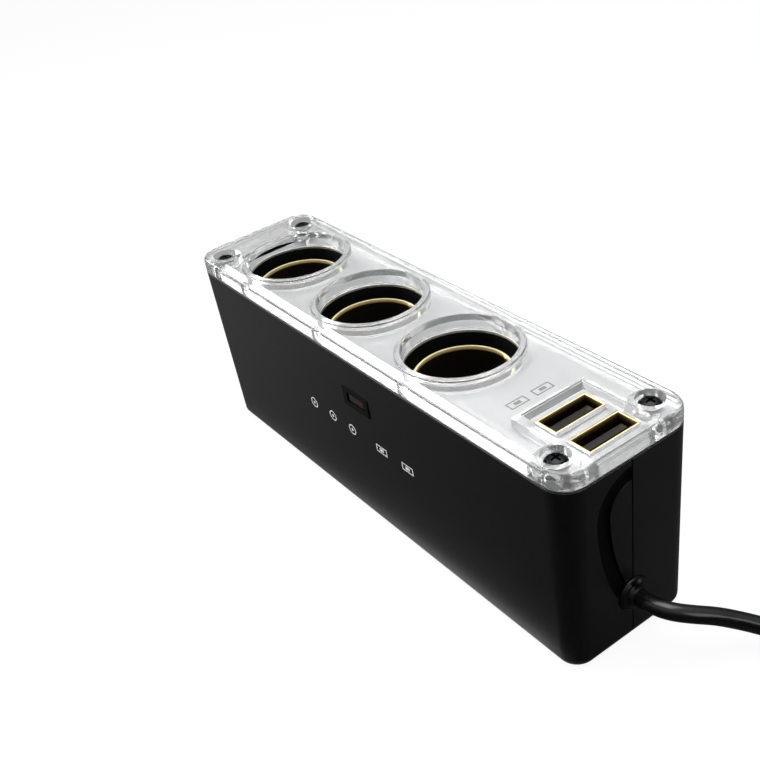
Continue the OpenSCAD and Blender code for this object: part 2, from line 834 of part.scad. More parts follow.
module regulator_chip() {
  color([0.08, 0.08, 0.08])
    translate([port_x[0] - coil_core_r - coil_core_w - chip_l - board_t, -chip_w / 2, board_z - chip_h])
      cube([chip_l, chip_w, chip_h]);
}

module port_shell(i) {
  color([0.85, 0.72, 0.42])
    translate([port_x[i], 0, port_top - port_body_h])
      difference() {
        translate([-port_w / 2 - port_t, -port_l / 2 - port_t, 0])
          cube([port_w + 2 * port_t, port_l + 2 * port_t, port_body_h]);
        translate([-port_w / 2, -port_l / 2, -cut])
          cube([port_w, port_l, port_body_h + 2 * cut]);
      }
}

module port_tongue(i) {
  color([0.07, 0.05, 0.04])
    translate([port_x[i], 0, port_top - port_body_h]) {
      translate([-port_w / 2 + fit, -port_l / 2 + fit, 0])
        cube([port_w - 2 * fit, port_l - 2 * fit, port_base_h]);
      translate([-port_w / 2 + tongue_gap, -tongue_width / 2, 0])
        cube([tongue_thick, tongue_width, port_base_h + tongue_len]);
    }
}

module port_contacts(i) {
  color([0.85, 0.7, 0.35])
    for (k = [-1.5:1:1.5])
      translate([port_x[i] - port_w / 2 + tongue_gap + tongue_thick, k * pin_pitch - pin_w / 2, port_top - port_body_h + port_base_h])
        cube([pin_t, pin_w, pin_len]);
}

module lamp_bezel() {
  color([0.04, 0.04, 0.04])
    difference() {
      union() {
        translate([lamp_x - lamp_w / 2, front_at_lamp - bezel_stand, lamp_z - lamp_h / 2])
          cube([lamp_w, bezel_flange, lamp_h]);
        translate([lamp_x - lamp_w / 2 + bezel_margin, front_at_lamp, lamp_z - lamp_h / 2 + bezel_margin])
          cube([lamp_w - 2 * bezel_margin, 2 * wall, lamp_h - 2 * bezel_margin]);
      }
      translate([lamp_x - lens_w / 2 - fit, front_at_lamp - cut, lamp_z - lens_h / 2 - fit])
        cube([lens_w + 2 * fit, wall + cut, lens_h + 2 * fit]);
      translate([lamp_x, front_at_lamp, lamp_z])
        rotate([-90, 0, 0])
          cylinder(h = 3 * wall, r = bulb_r + fit);
    }
}

module lamp_lens() {
  color([0.45, 0.05, 0.04])
    translate([lamp_x - lens_w / 2, front_at_lamp - bezel_stand + lens_set, lamp_z - lens_h / 2])
      cube([lens_w, wall + bezel_stand - lens_set, lens_h]);
}

module lamp_bulb() {
  color([0.7, 0.1, 0.08])
    translate([lamp_x, front_at_lamp + wall, lamp_z])
      rotate([-90, 0, 0])
        cylinder(h = bulb_l, r = bulb_r);
}

module cord_gland() {
  inner_x = gland_x - wall - gland_inner_t;
  color([0.04, 0.04, 0.04])
    translate([0, 0, outlet_z])
      rotate([0, 90, 0])
        rotate_extrude()
          polygon([
            [0, inner_x - gland_t], [gland_r, inner_x - gland_t], [gland_r, inner_x + gland_inner_t - draft / 2],
            [gland_neck_r, inner_x + gland_inner_t - draft / 2], [gland_neck_r, gland_x],
            [gland_r, gland_x], [gland_r, gland_x + gland_t / 2], [gland_r - gland_t / 2, gland_x + gland_t],
            [gland_nose_r, gland_x + gland_t], [cord_r + gland_spot, gland_nose_x], [0, gland_nose_x]
          ]);
}

module lead_run() {
  color([0.03, 0.03, 0.03])
    tube(run_route, cord_r, run_sides);
}

module lead_coil() {
  color([0.03, 0.03, 0.03])
    tube(coil_path, cord_r, coil_sides);
}

module lead_tail() {
  color([0.03, 0.03, 0.03])
    tube(tail_route, cord_r, run_sides);
}

// Tie round the bundle of turns, on the side nearest the plug
module coil_tie() {
  r0 = coil_in_r - cord_r - tie_gap;
  r1 = coil_out_r + cord_r + tie_gap;
  h = coil_lift + coil_layers * coil_step - coil_gap + tie_gap;
  color([0.1, 0.1, 0.1])
    translate([coil_place[0], coil_place[1] + tie_w / 2, 0])
      rotate([90, 0, 0])
        linear_extrude(tie_w)
          difference() {
            translate([r0 - tie_t, 0])
              square([r1 - r0 + 2 * tie_t, h + tie_t]);
            translate([r0, tie_t])
              square([r1 - r0, h - tie_t]);
          }
}

// The plug lies along the length of the housing, with its nose away from it
module in_plug() {
  translate([plug_place[0], plug_place[1], grip_r])
    rotate([0, 90, 0])
      children();
}

module plug_relief() {
  step = (grip_u - 2 * relief_groove) / relief_rings;
  color([0.03, 0.03, 0.03])
    in_plug()
      difference() {
        rotate_extrude()
          polygon([
            [0, 0], [relief_r0, 0], [relief_r1, grip_u - fit], [relief_neck_r, grip_u - fit],
            [relief_neck_r, relief_l - relief_flange_t - fit], [relief_flange_r, relief_l - relief_flange_t - fit],
            [relief_flange_r, relief_l], [0, relief_l]
          ]);
        for (i = [0:relief_rings - 1])
          translate([0, 0, (i + 0.5) * step])
            rotate_extrude()
              translate([relief_r0 - fit, 0])
                square([relief_r1, relief_groove]);
      }
}

// Outer line of the plug's body, as pairs of radius and distance along the axis
function grip_line() = concat(
  [for (g = grip_line_shares) [grip_r * g[0], grip_u + g[1] * (grip_u1 - grip_u)]],
  [[nose_r, grip_u1], [nose_r, nose_u]]);

function bore_line() = [
  [cap_sleeve_r + fit, nose_u], [cap_sleeve_r + fit, cap_sleeve_u - fit], [fuse_bore_r, cap_sleeve_u - fit],
  [fuse_bore_r, wire_room_u + web_t], [web_hole_r, wire_room_u + web_t], [web_hole_r, wire_room_u],
  [wire_room_r, wire_room_u], [wire_room_r, relief_l + fit], [relief_flange_r + fit, relief_l + fit],
  [relief_flange_r + fit, relief_l - relief_flange_t - fit], [relief_neck_r + fit, relief_l - relief_flange_t - fit],
  [relief_neck_r + fit, grip_u]
];

// Half of the plug's body on one side of its flat joint
module plug_half(turn) {
  rotate([0, 0, turn])
    rotate_extrude(angle = 180)
      polygon(concat(grip_line(), bore_line()));
}

// Window and undercut pocket for a leaf contact, s is the side
module leaf_slot(s) {
  translate([-leaf_w / 2 - slide_fit, s > 0 ? slot_floor_r : -nose_r - cut, leaf_u - slot_half])
    cube([leaf_w + 2 * slide_fit, nose_r + cut - slot_floor_r, 2 * slot_half]);
  translate([-leaf_w / 2 - slide_fit, s > 0 ? slot_floor_r : -slot_lip_r, leaf_u - leaf_half - slide_fit])
    cube([leaf_w + 2 * slide_fit, slot_lip_r - slot_floor_r, 2 * leaf_half + 2 * slide_fit]);
}

module grip_rings() {
  for (i = [0:grip_grooves - 1])
    translate([0, 0, grip_u + grooves_from_share * (grip_u1 - grip_u) + i * groove_step])
      rotate_extrude()
        translate([grip_r, 0])
          circle(r = groove_cut_r);
}

module plug_upper() {
  color([0.04, 0.04, 0.04])
    in_plug()
      difference() {
        union() {
          plug_half(90);
          translate([-wire_room_r - cut, 0, boss_u])
            rotate([0, 90, 0])
              cylinder(h = wire_room_r + cut, r = boss_r);
        }
        translate([plug_head_seat - plug_screw_l - cut, 0, boss_u])
          rotate([0, 90, 0])
            cylinder(h = plug_screw_l + cut, r = plug_screw_r + fit / 2);
        leaf_slot(1);
        leaf_slot(-1);
        grip_rings();
      }
}

module plug_lower() {
  color([0.04, 0.04, 0.04])
    in_plug()
      difference() {
        union() {
          plug_half(-90);
          translate([0, 0, boss_u])
            rotate([0, 90, 0])
              cylinder(h = wire_room_r + cut, r = boss_r);
        }
        translate([-cut, 0, boss_u])
          rotate([0, 90, 0])
            cylinder(h = grip_r + 2 * cut, r = plug_screw_r + fit);
        translate([plug_head_seat, 0, boss_u])
          rotate([0, 90, 0])
            cylinder(h = grip_r, r = plug_head_r + fit);
        leaf_slot(1);
        leaf_slot(-1);
        grip_rings();
      }
}

module plug_screw() {
  color([0.55, 0.55, 0.55])
    in_plug()
      translate([plug_head_seat, 0, boss_u])
        rotate([0, 90, 0])
          screw(plug_screw_r, plug_screw_l, plug_head_r, plug_head_h);
}

module plug_cap() {
  color([0.05, 0.05, 0.05])
    in_plug()
      rotate_extrude()
        polygon([
          [cap_bore_r, cap_sleeve_u], [cap_sleeve_r, cap_sleeve_u], [cap_sleeve_r, nose_u], [cap_rim_r, nose_u],
          [cap_rim_r, nose_u + cap_steps_share[0] * (cap_u - nose_u)],
          [(cap_rim_r + cap_front_r) / 2, nose_u + cap_steps_share[1] * (cap_u - nose_u)],
          [cap_front_r, cap_u], [pin_r + slide_fit, cap_u], [pin_r + slide_fit, cap_u - cap_wall_t],
          [cap_bore_r, cap_u - cap_wall_t]
        ]);
}

module plug_wires() {
  color([0.7, 0.08, 0.06])
    in_plug()
      for (s = [-1, 1])
        spring_tube([for (p = [[wire_split, relief_l], [wire_split, relief_l + wire_r],
          [boss_r + 1.5 * wire_r, boss_u - wire_r], [boss_r + 1.5 * wire_r, boss_u + wire_r],
          [web_hole_r + 2 * wire_r, wire_room_u]]) [0, s * p[0], p[1]]], wire_r);
}

module plug_tip() {
  color([0.75, 0.74, 0.7])
    in_plug()
      rotate_extrude()
        polygon(concat(
          [[0, fuse_u], [tip_collar_r, fuse_u], [tip_collar_r, collar_u], [pin_r, collar_u], [pin_r, pin_u - pin_round]],
          [for (a = [30:30:90]) [pin_r - pin_round * (1 - cos(a)), pin_u - pin_round * (1 - sin(a))]],
          [[0, pin_u]]));
}

module fuse() {
  color([0.8, 0.82, 0.84])
    in_plug()
      translate([0, 0, fuse_u - fuse_l]) {
        cylinder(h = fuse_cap_l, r = fuse_r);
        cylinder(h = fuse_l, r = fuse_glass_r);
        translate([0, 0, fuse_l - fuse_cap_l])
          cylinder(h = fuse_cap_l, r = fuse_r);
      }
}

module tip_spring() {
  color([0.7, 0.7, 0.7])
    in_plug()
      spring_tube(spring_path, spring_wire_r);
}

module fuse_contact() {
  color([0.8, 0.66, 0.34])
    in_plug()
      translate([0, 0, wire_room_u + web_t])
        cylinder(h = spring_u - wire_room_u - web_t, r = fuse_bore_r - fit);
}

// Sprung leaf at the side of the nose, bowed out past it
module leaf_contact(s) {
  bow = [for (i = [0:leaf_steps]) let (t = -1 + 2 * i / leaf_steps)
    [leaf_u + t * (leaf_half - slide_fit), leaf_foot + (leaf_top - leaf_foot) * (1 - t * t)]];
  color([0.75, 0.75, 0.72])
    in_plug()
      mirror([0, s < 0 ? 1 : 0, 0])
        translate([leaf_w / 2, 0, 0])
          rotate([0, -90, 0])
            linear_extrude(leaf_w)
              polygon(concat(bow, [for (i = [leaf_steps:-1:0]) bow[i] - [0, leaf_t]]));
}

front_shell();
rear_shell();
clear_cover();
face_plate();
cover_screws();
socket_sleeve(0);  // socket_sleeve_1
socket_sleeve(1);  // socket_sleeve_2
socket_sleeve(2);  // socket_sleeve_3
socket_shell(0);  // socket_shell_1
socket_shell(1);  // socket_shell_2
socket_shell(2);  // socket_shell_3
socket_base(0);  // socket_base_1
socket_base(1);  // socket_base_2
socket_base(2);  // socket_base_3
centre_contact(0);  // centre_contact_1
centre_contact(1);  // centre_contact_2
centre_contact(2);  // centre_contact_3
positive_strip();
negative_strip();
positive_wire();
negative_wire();
circuit_board();
inductor();
capacitors();
regulator_chip();
port_shell(0);  // port_shell_1
port_shell(1);  // port_shell_2
port_tongue(0);  // port_tongue_1
port_tongue(1);  // port_tongue_2
port_contacts(0);  // port_contacts_1
port_contacts(1);  // port_contacts_2
lamp_bezel();
lamp_lens();
lamp_bulb();
cord_gland();
lead_run();
lead_coil();
lead_tail();
coil_tie();
plug_relief();
plug_upper();
plug_lower();
plug_screw();
plug_cap();
plug_wires();
plug_tip();
fuse();
tip_spring();
fuse_contact();
leaf_contact(-1);  // side_contact_front
leaf_contact(1);  // side_contact_rear
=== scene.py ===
# %% [markdown]
# # A car power socket splitter
#
# A long black box shares one vehicle power socket between three others and two charging ports. Its top is
# the part that catches the eye: a clear cover, screwed down at its corners, over a brushed silver plate.
# The box, the sockets and everything inside them are already modelled as solids. This lesson dresses them:
# it gives every visible surface its finish, and it models again the pieces whose look depends on soft edges.

# %% Load the solids
import json
import math

import bmesh
import bpy
from mathutils import Matrix, Vector

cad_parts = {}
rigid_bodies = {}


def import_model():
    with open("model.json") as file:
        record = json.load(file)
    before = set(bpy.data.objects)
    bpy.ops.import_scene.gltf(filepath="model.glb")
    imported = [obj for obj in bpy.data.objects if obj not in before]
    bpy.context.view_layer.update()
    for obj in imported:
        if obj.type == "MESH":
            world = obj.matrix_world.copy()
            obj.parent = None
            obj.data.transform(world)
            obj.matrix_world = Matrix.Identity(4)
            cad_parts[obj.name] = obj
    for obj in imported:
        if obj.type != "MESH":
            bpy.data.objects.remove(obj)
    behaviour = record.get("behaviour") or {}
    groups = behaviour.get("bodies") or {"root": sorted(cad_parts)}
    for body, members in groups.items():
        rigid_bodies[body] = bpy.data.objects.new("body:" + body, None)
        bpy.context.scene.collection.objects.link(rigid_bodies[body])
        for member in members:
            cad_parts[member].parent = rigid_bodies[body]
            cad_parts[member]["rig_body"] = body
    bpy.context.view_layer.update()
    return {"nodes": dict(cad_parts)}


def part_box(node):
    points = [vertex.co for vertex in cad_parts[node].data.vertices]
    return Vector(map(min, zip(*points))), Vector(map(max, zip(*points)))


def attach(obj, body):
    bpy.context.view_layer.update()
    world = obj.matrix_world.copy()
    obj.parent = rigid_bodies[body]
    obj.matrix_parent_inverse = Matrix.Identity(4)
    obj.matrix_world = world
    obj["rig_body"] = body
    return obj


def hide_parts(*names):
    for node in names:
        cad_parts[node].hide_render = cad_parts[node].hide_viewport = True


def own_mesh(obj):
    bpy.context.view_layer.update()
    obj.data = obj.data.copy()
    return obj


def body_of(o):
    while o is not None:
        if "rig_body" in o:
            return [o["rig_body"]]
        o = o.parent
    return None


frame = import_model()
nodes = frame["nodes"]
MM = 0.001
HOME = "splitter"

# %% [markdown]
# ## The camera
#
# The photograph was taken from above the right front corner, close enough for a strong perspective, with the
# camera rolled a little. Its place, its direction and its focal length were worked out from some forty points
# of the object, so the camera is written down as those numbers. A camera that is aimed by eye with a constraint is
# quicker to set up, but it hardly ever gets the roll and the perspective right at once.

# %% Camera
CAMERA_MM = (184.9, -116.89, 173.36)
AZIMUTH = math.radians(59.701)
ELEVATION = math.radians(32.448)
ROLL = math.radians(-9.964)
FOCAL_PX = 1085.55
PICTURE_PX = 760
SENSOR_MM = 36

forward = Vector((
    -math.sin(AZIMUTH) * math.cos(ELEVATION),
    math.cos(AZIMUTH) * math.cos(ELEVATION),
    -math.sin(ELEVATION),
))
level = Vector((math.cos(AZIMUTH), math.sin(AZIMUTH), 0))
upward = level.cross(forward)
right = level * math.cos(ROLL) + upward * math.sin(ROLL)
above = upward * math.cos(ROLL) - level * math.sin(ROLL)

camera = bpy.data.objects.new("camera", bpy.data.cameras.new("camera"))
bpy.context.scene.collection.objects.link(camera)
bpy.context.scene.camera = camera
camera.data.sensor_width = SENSOR_MM
camera.data.lens = SENSOR_MM * FOCAL_PX / PICTURE_PX
camera.data.clip_start = 0.01
camera.data.clip_end = 20
turn = Matrix((right, above, -forward)).transposed()
camera.matrix_world = Matrix.Translation(Vector(CAMERA_MM) * MM) @ turn.to_4x4()
print("lens in mm:", round(camera.data.lens, 2))

# %% [markdown]
# ## The lead
#
# The lead is a thin round cable with a glossy jacket. It leaves its strain relief straight, sinks to the
# table and runs off to the side, where the rest of it is put away in a neat coil that ends in a plug.
# A chain of cylinders could show it too, but would kink at each joint. One Bezier curve with automatic handles
# follows such a route smoothly, and its bevel depth gives the jacket. The route is a list of points up to the coil
# and after it, and the coil between them comes from a spiral that climbs layer by layer.

# %% The route of the lead
LEAD_D = 3.8
RUN_ROUTE = [
    (72.1, 0, 12.1), (73, 0, 12.1), (75, 0.2, 12.1), (77, 0.9, 11.9), (78.9, 2.2, 11.5), (80.5, 4, 10.9),
    (82, 6.2, 10.1), (83.6, 8.9, 9), (85.6, 12, 7.4), (88.4, 15.4, 5.6), (92, 18.6, 4), (96.4, 21.6, 2.8),
    (101.5, 24.2, 2.1), (106, 26.2, 1.9), (111, 27.9, 2), (116, 28.8, 2.3),
    (121, 29.1, 2.5), (124.7, 29.1, 2.5),
]
TAIL_ROUTE = [
    (132.3, 29.1, 15.7), (136, 29.1, 15.7), (138.2, 28.9, 15.7), (140.4, 28.1, 15.7), (142.3, 27, 15.7),
    (144, 25.4, 15.7), (145.2, 23.6, 15.6), (146.5, 21.7, 15.2), (148.2, 20.1, 14.6), (150.1, 19, 14),
    (152.3, 18.2, 13.4), (154.5, 18, 13), (155.5, 18, 13),
]
COIL_PLACE = (128.5, 6.8)
COIL_MID_R = 19
COIL_GAP = 0.6
COIL_LIFT = 0.6
COIL_TURNS = 6
COIL_LAYERS = 4
COIL_STEPS = 24
CLIMB_TURNS = 0.5


def eased(x):
    x = min(max(x, 0), 1)
    return x * x * (3 - 2 * x)


def coil_point(t):
    """A point of the coil after t turns: it spirals in and out, and climbs a layer where it turns back."""
    step = LEAD_D + COIL_GAP
    layer_turns = COIL_TURNS / COIL_LAYERS
    inner, outer = COIL_MID_R - step * layer_turns / 2, COIL_MID_R + step * layer_turns / 2
    layer, part = divmod(t / layer_turns, 1)
    share = 1 - part if layer % 2 == 0 else part
    radius = inner + (outer - inner) * share
    angle = math.radians(90 - 360 * t)
    climbed = sum(eased((t - j * layer_turns + CLIMB_TURNS / 2) / CLIMB_TURNS) for j in range(1, COIL_LAYERS))
    return (
        COIL_PLACE[0] + radius * math.cos(angle),
        COIL_PLACE[1] + radius * math.sin(angle),
        COIL_LIFT + LEAD_D / 2 + step * climbed,
    )


coil_route = [coil_point(i / COIL_STEPS) for i in range(COIL_TURNS * COIL_STEPS + 1)]
lead_route = RUN_ROUTE + coil_route + TAIL_ROUTE

# %% The lead's curve
lead_curve = bpy.data.curves.new("lead", "CURVE")
lead_curve.dimensions = "3D"
lead_curve.resolution_u = 4
lead_curve.bevel_depth = LEAD_D / 2 * MM
lead_curve.bevel_resolution = 5
lead_curve.use_fill_caps = True
spline = lead_curve.splines.new("BEZIER")
spline.bezier_points.add(len(lead_route) - 1)
for knot, point in zip(spline.bezier_points, lead_route):
    knot.co = Vector(point) * MM
    knot.handle_left_type = knot.handle_right_type = "AUTO"
guide = bpy.data.objects.new("lead_guide", lead_curve)
bpy.context.scene.collection.objects.link(guide)
print("lead's curve:", len(spline.bezier_points), "knots")

# %% [markdown]
# The curve becomes a mesh, so that its box is the box of the jacket. The curve without its bevel gives the centres of
# the tube's rings, which are counted. Only the four-sided faces are shaded smooth, and the two end caps stay flat.

# %% The lead's tube and its ring centres


def as_mesh(shape, name):
    """The mesh that a shape makes now."""
    bpy.context.view_layer.update()
    seen = bpy.context.evaluated_depsgraph_get()
    made = bpy.data.meshes.new_from_object(shape.evaluated_get(seen), depsgraph=seen)
    made.name = name
    return made


tube = as_mesh(guide, "lead")
lead_curve.bevel_depth = 0
centres = [tuple(vert.co) for vert in as_mesh(guide, "lead_centres").vertices]
bpy.data.objects.remove(guide)
for face in tube.polygons:
    face.use_smooth = len(face.vertices) == 4
lead = bpy.data.objects.new("lead", tube)
bpy.context.scene.collection.objects.link(lead)
print("lead:", len(centres), "rings,", len(tube.polygons), "faces")
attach(lead, HOME)
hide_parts("lead_run", "lead_coil", "lead_tail")

# %% [markdown]
# ## Moulded edges
#
# The solids have knife-sharp edges, and no moulded or stamped piece has those: a real edge is a small round that
# catches the light as a thin bright line. So each piece that shows is a copy of its solid whose loose triangles
# are merged, whose flat faces are made whole again, and whose sharp edges get a narrow bevel of the right width.
# A Bevel modifier rounds edges as well, without a copy. The copy is chosen because its faces can be merged first,
# and can be marked for a second finish afterwards.

# %% Smooth faces with sharp edges between them
STILL_SMOOTH = math.radians(42)


def finish_piece(piece, body):
    """Links a piece at the origin, smooth but for its sharp edges, and makes it ride on its body."""
    for face in piece.data.polygons:
        face.use_smooth = True
    piece.data.set_sharp_from_angle(angle=STILL_SMOOTH)
    even = piece.modifiers.new("even_normals", "WEIGHTED_NORMAL")
    even.keep_sharp = True
    bpy.context.scene.collection.objects.link(piece)
    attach(piece, body)
    return piece


# %% [markdown]
# A flat face that goes round a hole, such as the end of a sleeve, is cut into convex faces before its edges are
# rounded, because one face that nearly closes on itself can be filled across its hole.

# %% A copy with soft edges
SHARP = math.radians(34)
FLAT = math.radians(0.4)
MERGE_MM = 0.002
dressed = {}


def softened(name, width_mm, segments=3, change=None, ringed=False):
    """A copy of a CAD node with whole faces and narrow rounds along its edges."""
    solid = bmesh.new()
    solid.from_mesh(nodes[name].data)
    bmesh.ops.remove_doubles(solid, verts=solid.verts, dist=MERGE_MM * MM)
    bmesh.ops.dissolve_limit(solid, angle_limit=FLAT, verts=solid.verts, edges=solid.edges)
    if ringed:
        bmesh.ops.connect_verts_concave(solid, faces=solid.faces[:])
    edges = [e for e in solid.edges if len(e.link_faces) == 2 and e.calc_face_angle() > SHARP]
    if width_mm and edges:
        bmesh.ops.bevel(
            solid, geom=edges, offset=width_mm * MM, segments=segments, profile=0.5, affect="EDGES",
            clamp_overlap=True, material=-1,
        )
    if change:
        change(solid)
    data = bpy.data.meshes.new(name + "_dressed")
    solid.to_mesh(data)
    solid.free()
    piece = bpy.data.objects.new(name + "_dressed", data)
    finish_piece(piece, body_of(nodes[name])[0])
    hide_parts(name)
    dressed[name] = piece
    return piece


# %% [markdown]
# ## The plug at the far end
#
# The plug is turned and moulded: two halves with a rounded grip, a nose cap, a metal tip and two sprung contacts at
# its sides. Four of its pieces keep their own mesh and get a Weld and a Bevel modifier, the shorter way where no
# face needs a mark. The others, and the tie round the coil, are softened copies.

# %% The pieces of the plug and the tie
PLUG_EDGES = {
    "coil_tie": 0.5, "plug_relief": 0.15, "plug_screw": 0.12, "side_contact_front": 0.2, "side_contact_rear": 0.2,
}
for name, width in PLUG_EDGES.items():
    softened(name, width, ringed=name == "coil_tie")
PLUG_SHELLS = {"plug_upper": 0.3, "plug_lower": 0.3, "plug_cap": 0.25, "plug_tip": 0.2}
SHELL_SEGMENTS = 3
for name, width in PLUG_SHELLS.items():
    whole = nodes[name].modifiers.new("whole", "WELD")
    whole.merge_threshold = MERGE_MM * MM
    edge = nodes[name].modifiers.new("edge", "BEVEL")
    edge.limit_method = "ANGLE"
    edge.angle_limit = SHARP
    edge.width = width * MM
    edge.segments = SHELL_SEGMENTS
print("plug pieces:", len(dressed) + len(PLUG_SHELLS))

# %% [markdown]
# ## The spring behind the plug's fuse
#
# The spring is a round wire wound in a helix whose end turns lie close. A Screw modifier winds a helix too, but with
# one pitch from end to end. So the wire is a curve whose points are worked out turn by turn, given a bevel and made a
# mesh. It shortens as the tip slides in.

# %% How the spring is wound
WIRE_R = 0.35
SPRING_TURNS = 6
END_TURNS = 1
CLOSE_PITCH = 2.1
STEPS_PER_TURN = 24

spring_low, spring_high = (Vector(corner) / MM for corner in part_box("tip_spring"))
spring_axis = (spring_low + spring_high) / 2
coil_r = (spring_high.z - spring_low.z) / 2 - WIRE_R
wire_start, wire_end = spring_low.x + WIRE_R, spring_high.x - WIRE_R
closed = CLOSE_PITCH * WIRE_R


def along_spring(turn):
    """How far along the spring the wire is after some turns: slow in the end turns, even between them."""
    if turn <= END_TURNS:
        return wire_start + closed * turn / END_TURNS
    if turn >= END_TURNS + SPRING_TURNS:
        return wire_end - closed * (END_TURNS * 2 + SPRING_TURNS - turn) / END_TURNS
    return wire_start + closed + (wire_end - wire_start - 2 * closed) * (turn - END_TURNS) / SPRING_TURNS


print("spring's coil:", round(2 * coil_r, 2), "mm across the middle of the wire")

# %% The spring's wire
wire_curve = bpy.data.curves.new("tip_spring_wire", "CURVE")
wire_curve.dimensions = "3D"
wire_curve.bevel_depth = WIRE_R * MM
wire_curve.bevel_resolution = 3
wire_curve.use_fill_caps = True
wire = wire_curve.splines.new("POLY")
wire_steps = (SPRING_TURNS + 2 * END_TURNS) * STEPS_PER_TURN
wire.points.add(wire_steps)
for i, knot in enumerate(wire.points):
    turn = i / STEPS_PER_TURN
    angle = 2 * math.pi * turn
    spot = Vector((along_spring(turn), spring_axis.y, spring_axis.z))
    spot += Vector((0, coil_r * math.cos(angle), coil_r * math.sin(angle)))
    knot.co = (*(spot * MM), 1)
guide = bpy.data.objects.new("spring_guide", wire_curve)
bpy.context.scene.collection.objects.link(guide)
spring = bpy.data.objects.new("tip_spring_dressed", as_mesh(guide, "tip_spring_dressed"))
bpy.data.objects.remove(guide)
finish_piece(spring, HOME)
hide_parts("tip_spring")
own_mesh(spring)
dressed["tip_spring"] = spring

# %% [markdown]
# ## What hangs on the lead
#
# The lead is limp. Its plug and the tie round its coil are pieces of their own, dressed above with the plug's other
# parts.

# %% [markdown]
# ## Light and floor
#
# The photograph is a product picture: the object stands in plain white, and its clear cover is almost all
# highlights. Large soft lamps light the object at a plain level, and the white comes from the floor and
# the world, for the camera and for what shows in metal and glass. Stronger lamps would whiten the floor as well, but
# they would burn out the cover and the plate first.

# %% A shader that some rays see as something else
PAPER_WHITE = (0.9, 0.9, 0.9, 1)


def seen_by(tree, rays, shaded, other, strength=1):
    """Mixes another shader in for the kinds of ray that are named."""
    path = tree.nodes.new("ShaderNodeLightPath")
    total = None
    for ray in rays:
        if total is None:
            total = path.outputs[ray]
            continue
        either = tree.nodes.new("ShaderNodeMath")
        either.operation = "MAXIMUM"
        tree.links.new(total, either.inputs[0])
        tree.links.new(path.outputs[ray], either.inputs[1])
        total = either.outputs[0]
    share = tree.nodes.new("ShaderNodeMath")
    share.operation = "MULTIPLY"
    share.inputs[1].default_value = strength
    tree.links.new(total, share.inputs[0])
    mix = tree.nodes.new("ShaderNodeMixShader")
    tree.links.new(share.outputs[0], mix.inputs[0])
    tree.links.new(shaded, mix.inputs[1])
    tree.links.new(other, mix.inputs[2])
    return mix.outputs[0]


def plain_glow(tree, value):
    """An emission of one grey."""
    glow = tree.nodes.new("ShaderNodeEmission")
    glow.inputs["Color"].default_value = (value, value, value, 1)
    return glow.outputs[0]


# %% [markdown]
# Some colours follow a place: the floor's in the gloss of the housing, the sky's with its height, and those of a few
# finishes further down. A colour ramp draws each, because its steps can be written as a short list.

# %% Colours that follow a place


def filled_ramp(tree, steps):
    """A colour ramp with the given steps: (position, colour) from the lowest up."""
    ramp = tree.nodes.new("ShaderNodeValToRGB")
    while len(ramp.color_ramp.elements) < len(steps):
        ramp.color_ramp.elements.new(0.5)
    for element, (position, colour) in zip(ramp.color_ramp.elements, steps):
        element.position = position
        element.color = (*colour, 1)
    return ramp


def greys(steps):
    """Turns steps of one value into steps of a grey."""
    return [(spot, (value, value, value)) for spot, value in steps]


def colour_along(tree, axis, steps):
    """A colour that follows one Object coordinate: (place in mm, colour) from the lowest up."""
    place = tree.nodes.new("ShaderNodeTexCoord")
    parts = tree.nodes.new("ShaderNodeSeparateXYZ")
    tree.links.new(place.outputs["Object"], parts.inputs[0])
    low, high = steps[0][0], steps[-1][0]
    span = tree.nodes.new("ShaderNodeMapRange")
    span.inputs["From Min"].default_value = low * MM
    span.inputs["From Max"].default_value = high * MM
    tree.links.new(parts.outputs[axis], span.inputs["Value"])
    ramp = filled_ramp(tree, [((spot - low) / (high - low), colour) for spot, colour in steps])
    tree.links.new(span.outputs["Result"], ramp.inputs["Fac"])
    return ramp.outputs["Color"]


def worked_out(tree, operation, first, second):
    """The sum or the product of two values."""
    result = tree.nodes.new("ShaderNodeMath")
    result.operation = operation
    tree.links.new(first, result.inputs[0])
    tree.links.new(second, result.inputs[1])
    return result.outputs[0]


# %% [markdown]
# In the gloss of the black housing the floor is mostly dark, as when black cards stand round the object. It is
# lighter at the left and towards the back, so the front shades off towards the right and the near corner stays
# almost black, while the right end is lighter. A bright strip of the floor lies in front of the housing's foot, and
# draws the thin grey line along it.

# %% The floor's material
FLOOR_ROUGHNESS = 0.9
FLOOR_SHOWN = 0.92
GLOSS_X = [(-160, 0.24), (-100, 0.21), (-30, 0.115), (35, 0.065), (75, 0.01)]
GLOSS_Y = [(-22, 0), (18, 0.085)]
STRIP_X = [(-70, 0.12), (-30, 0.35), (30, 1), (58, 1), (70, 0)]
STRIP_Y = [(-19.4, 0), (-17.4, 1), (-16, 1), (-14, 0)]

paper = bpy.data.materials.new("paper_floor")
paper.use_nodes = True
paper_tree = paper.node_tree
paper_shader = paper_tree.nodes["Principled BSDF"]
paper_shader.inputs["Base Color"].default_value = PAPER_WHITE
paper_shader.inputs["Roughness"].default_value = FLOOR_ROUGHNESS
paper_look = seen_by(
    paper_tree, ["Is Camera Ray", "Is Transmission Ray"],
    paper_shader.outputs[0], plain_glow(paper_tree, 1), FLOOR_SHOWN,
)


def on_floor(axis, steps):
    """A grey that follows the floor along one axis: (place in mm, value)."""
    return colour_along(paper_tree, axis, greys(steps))


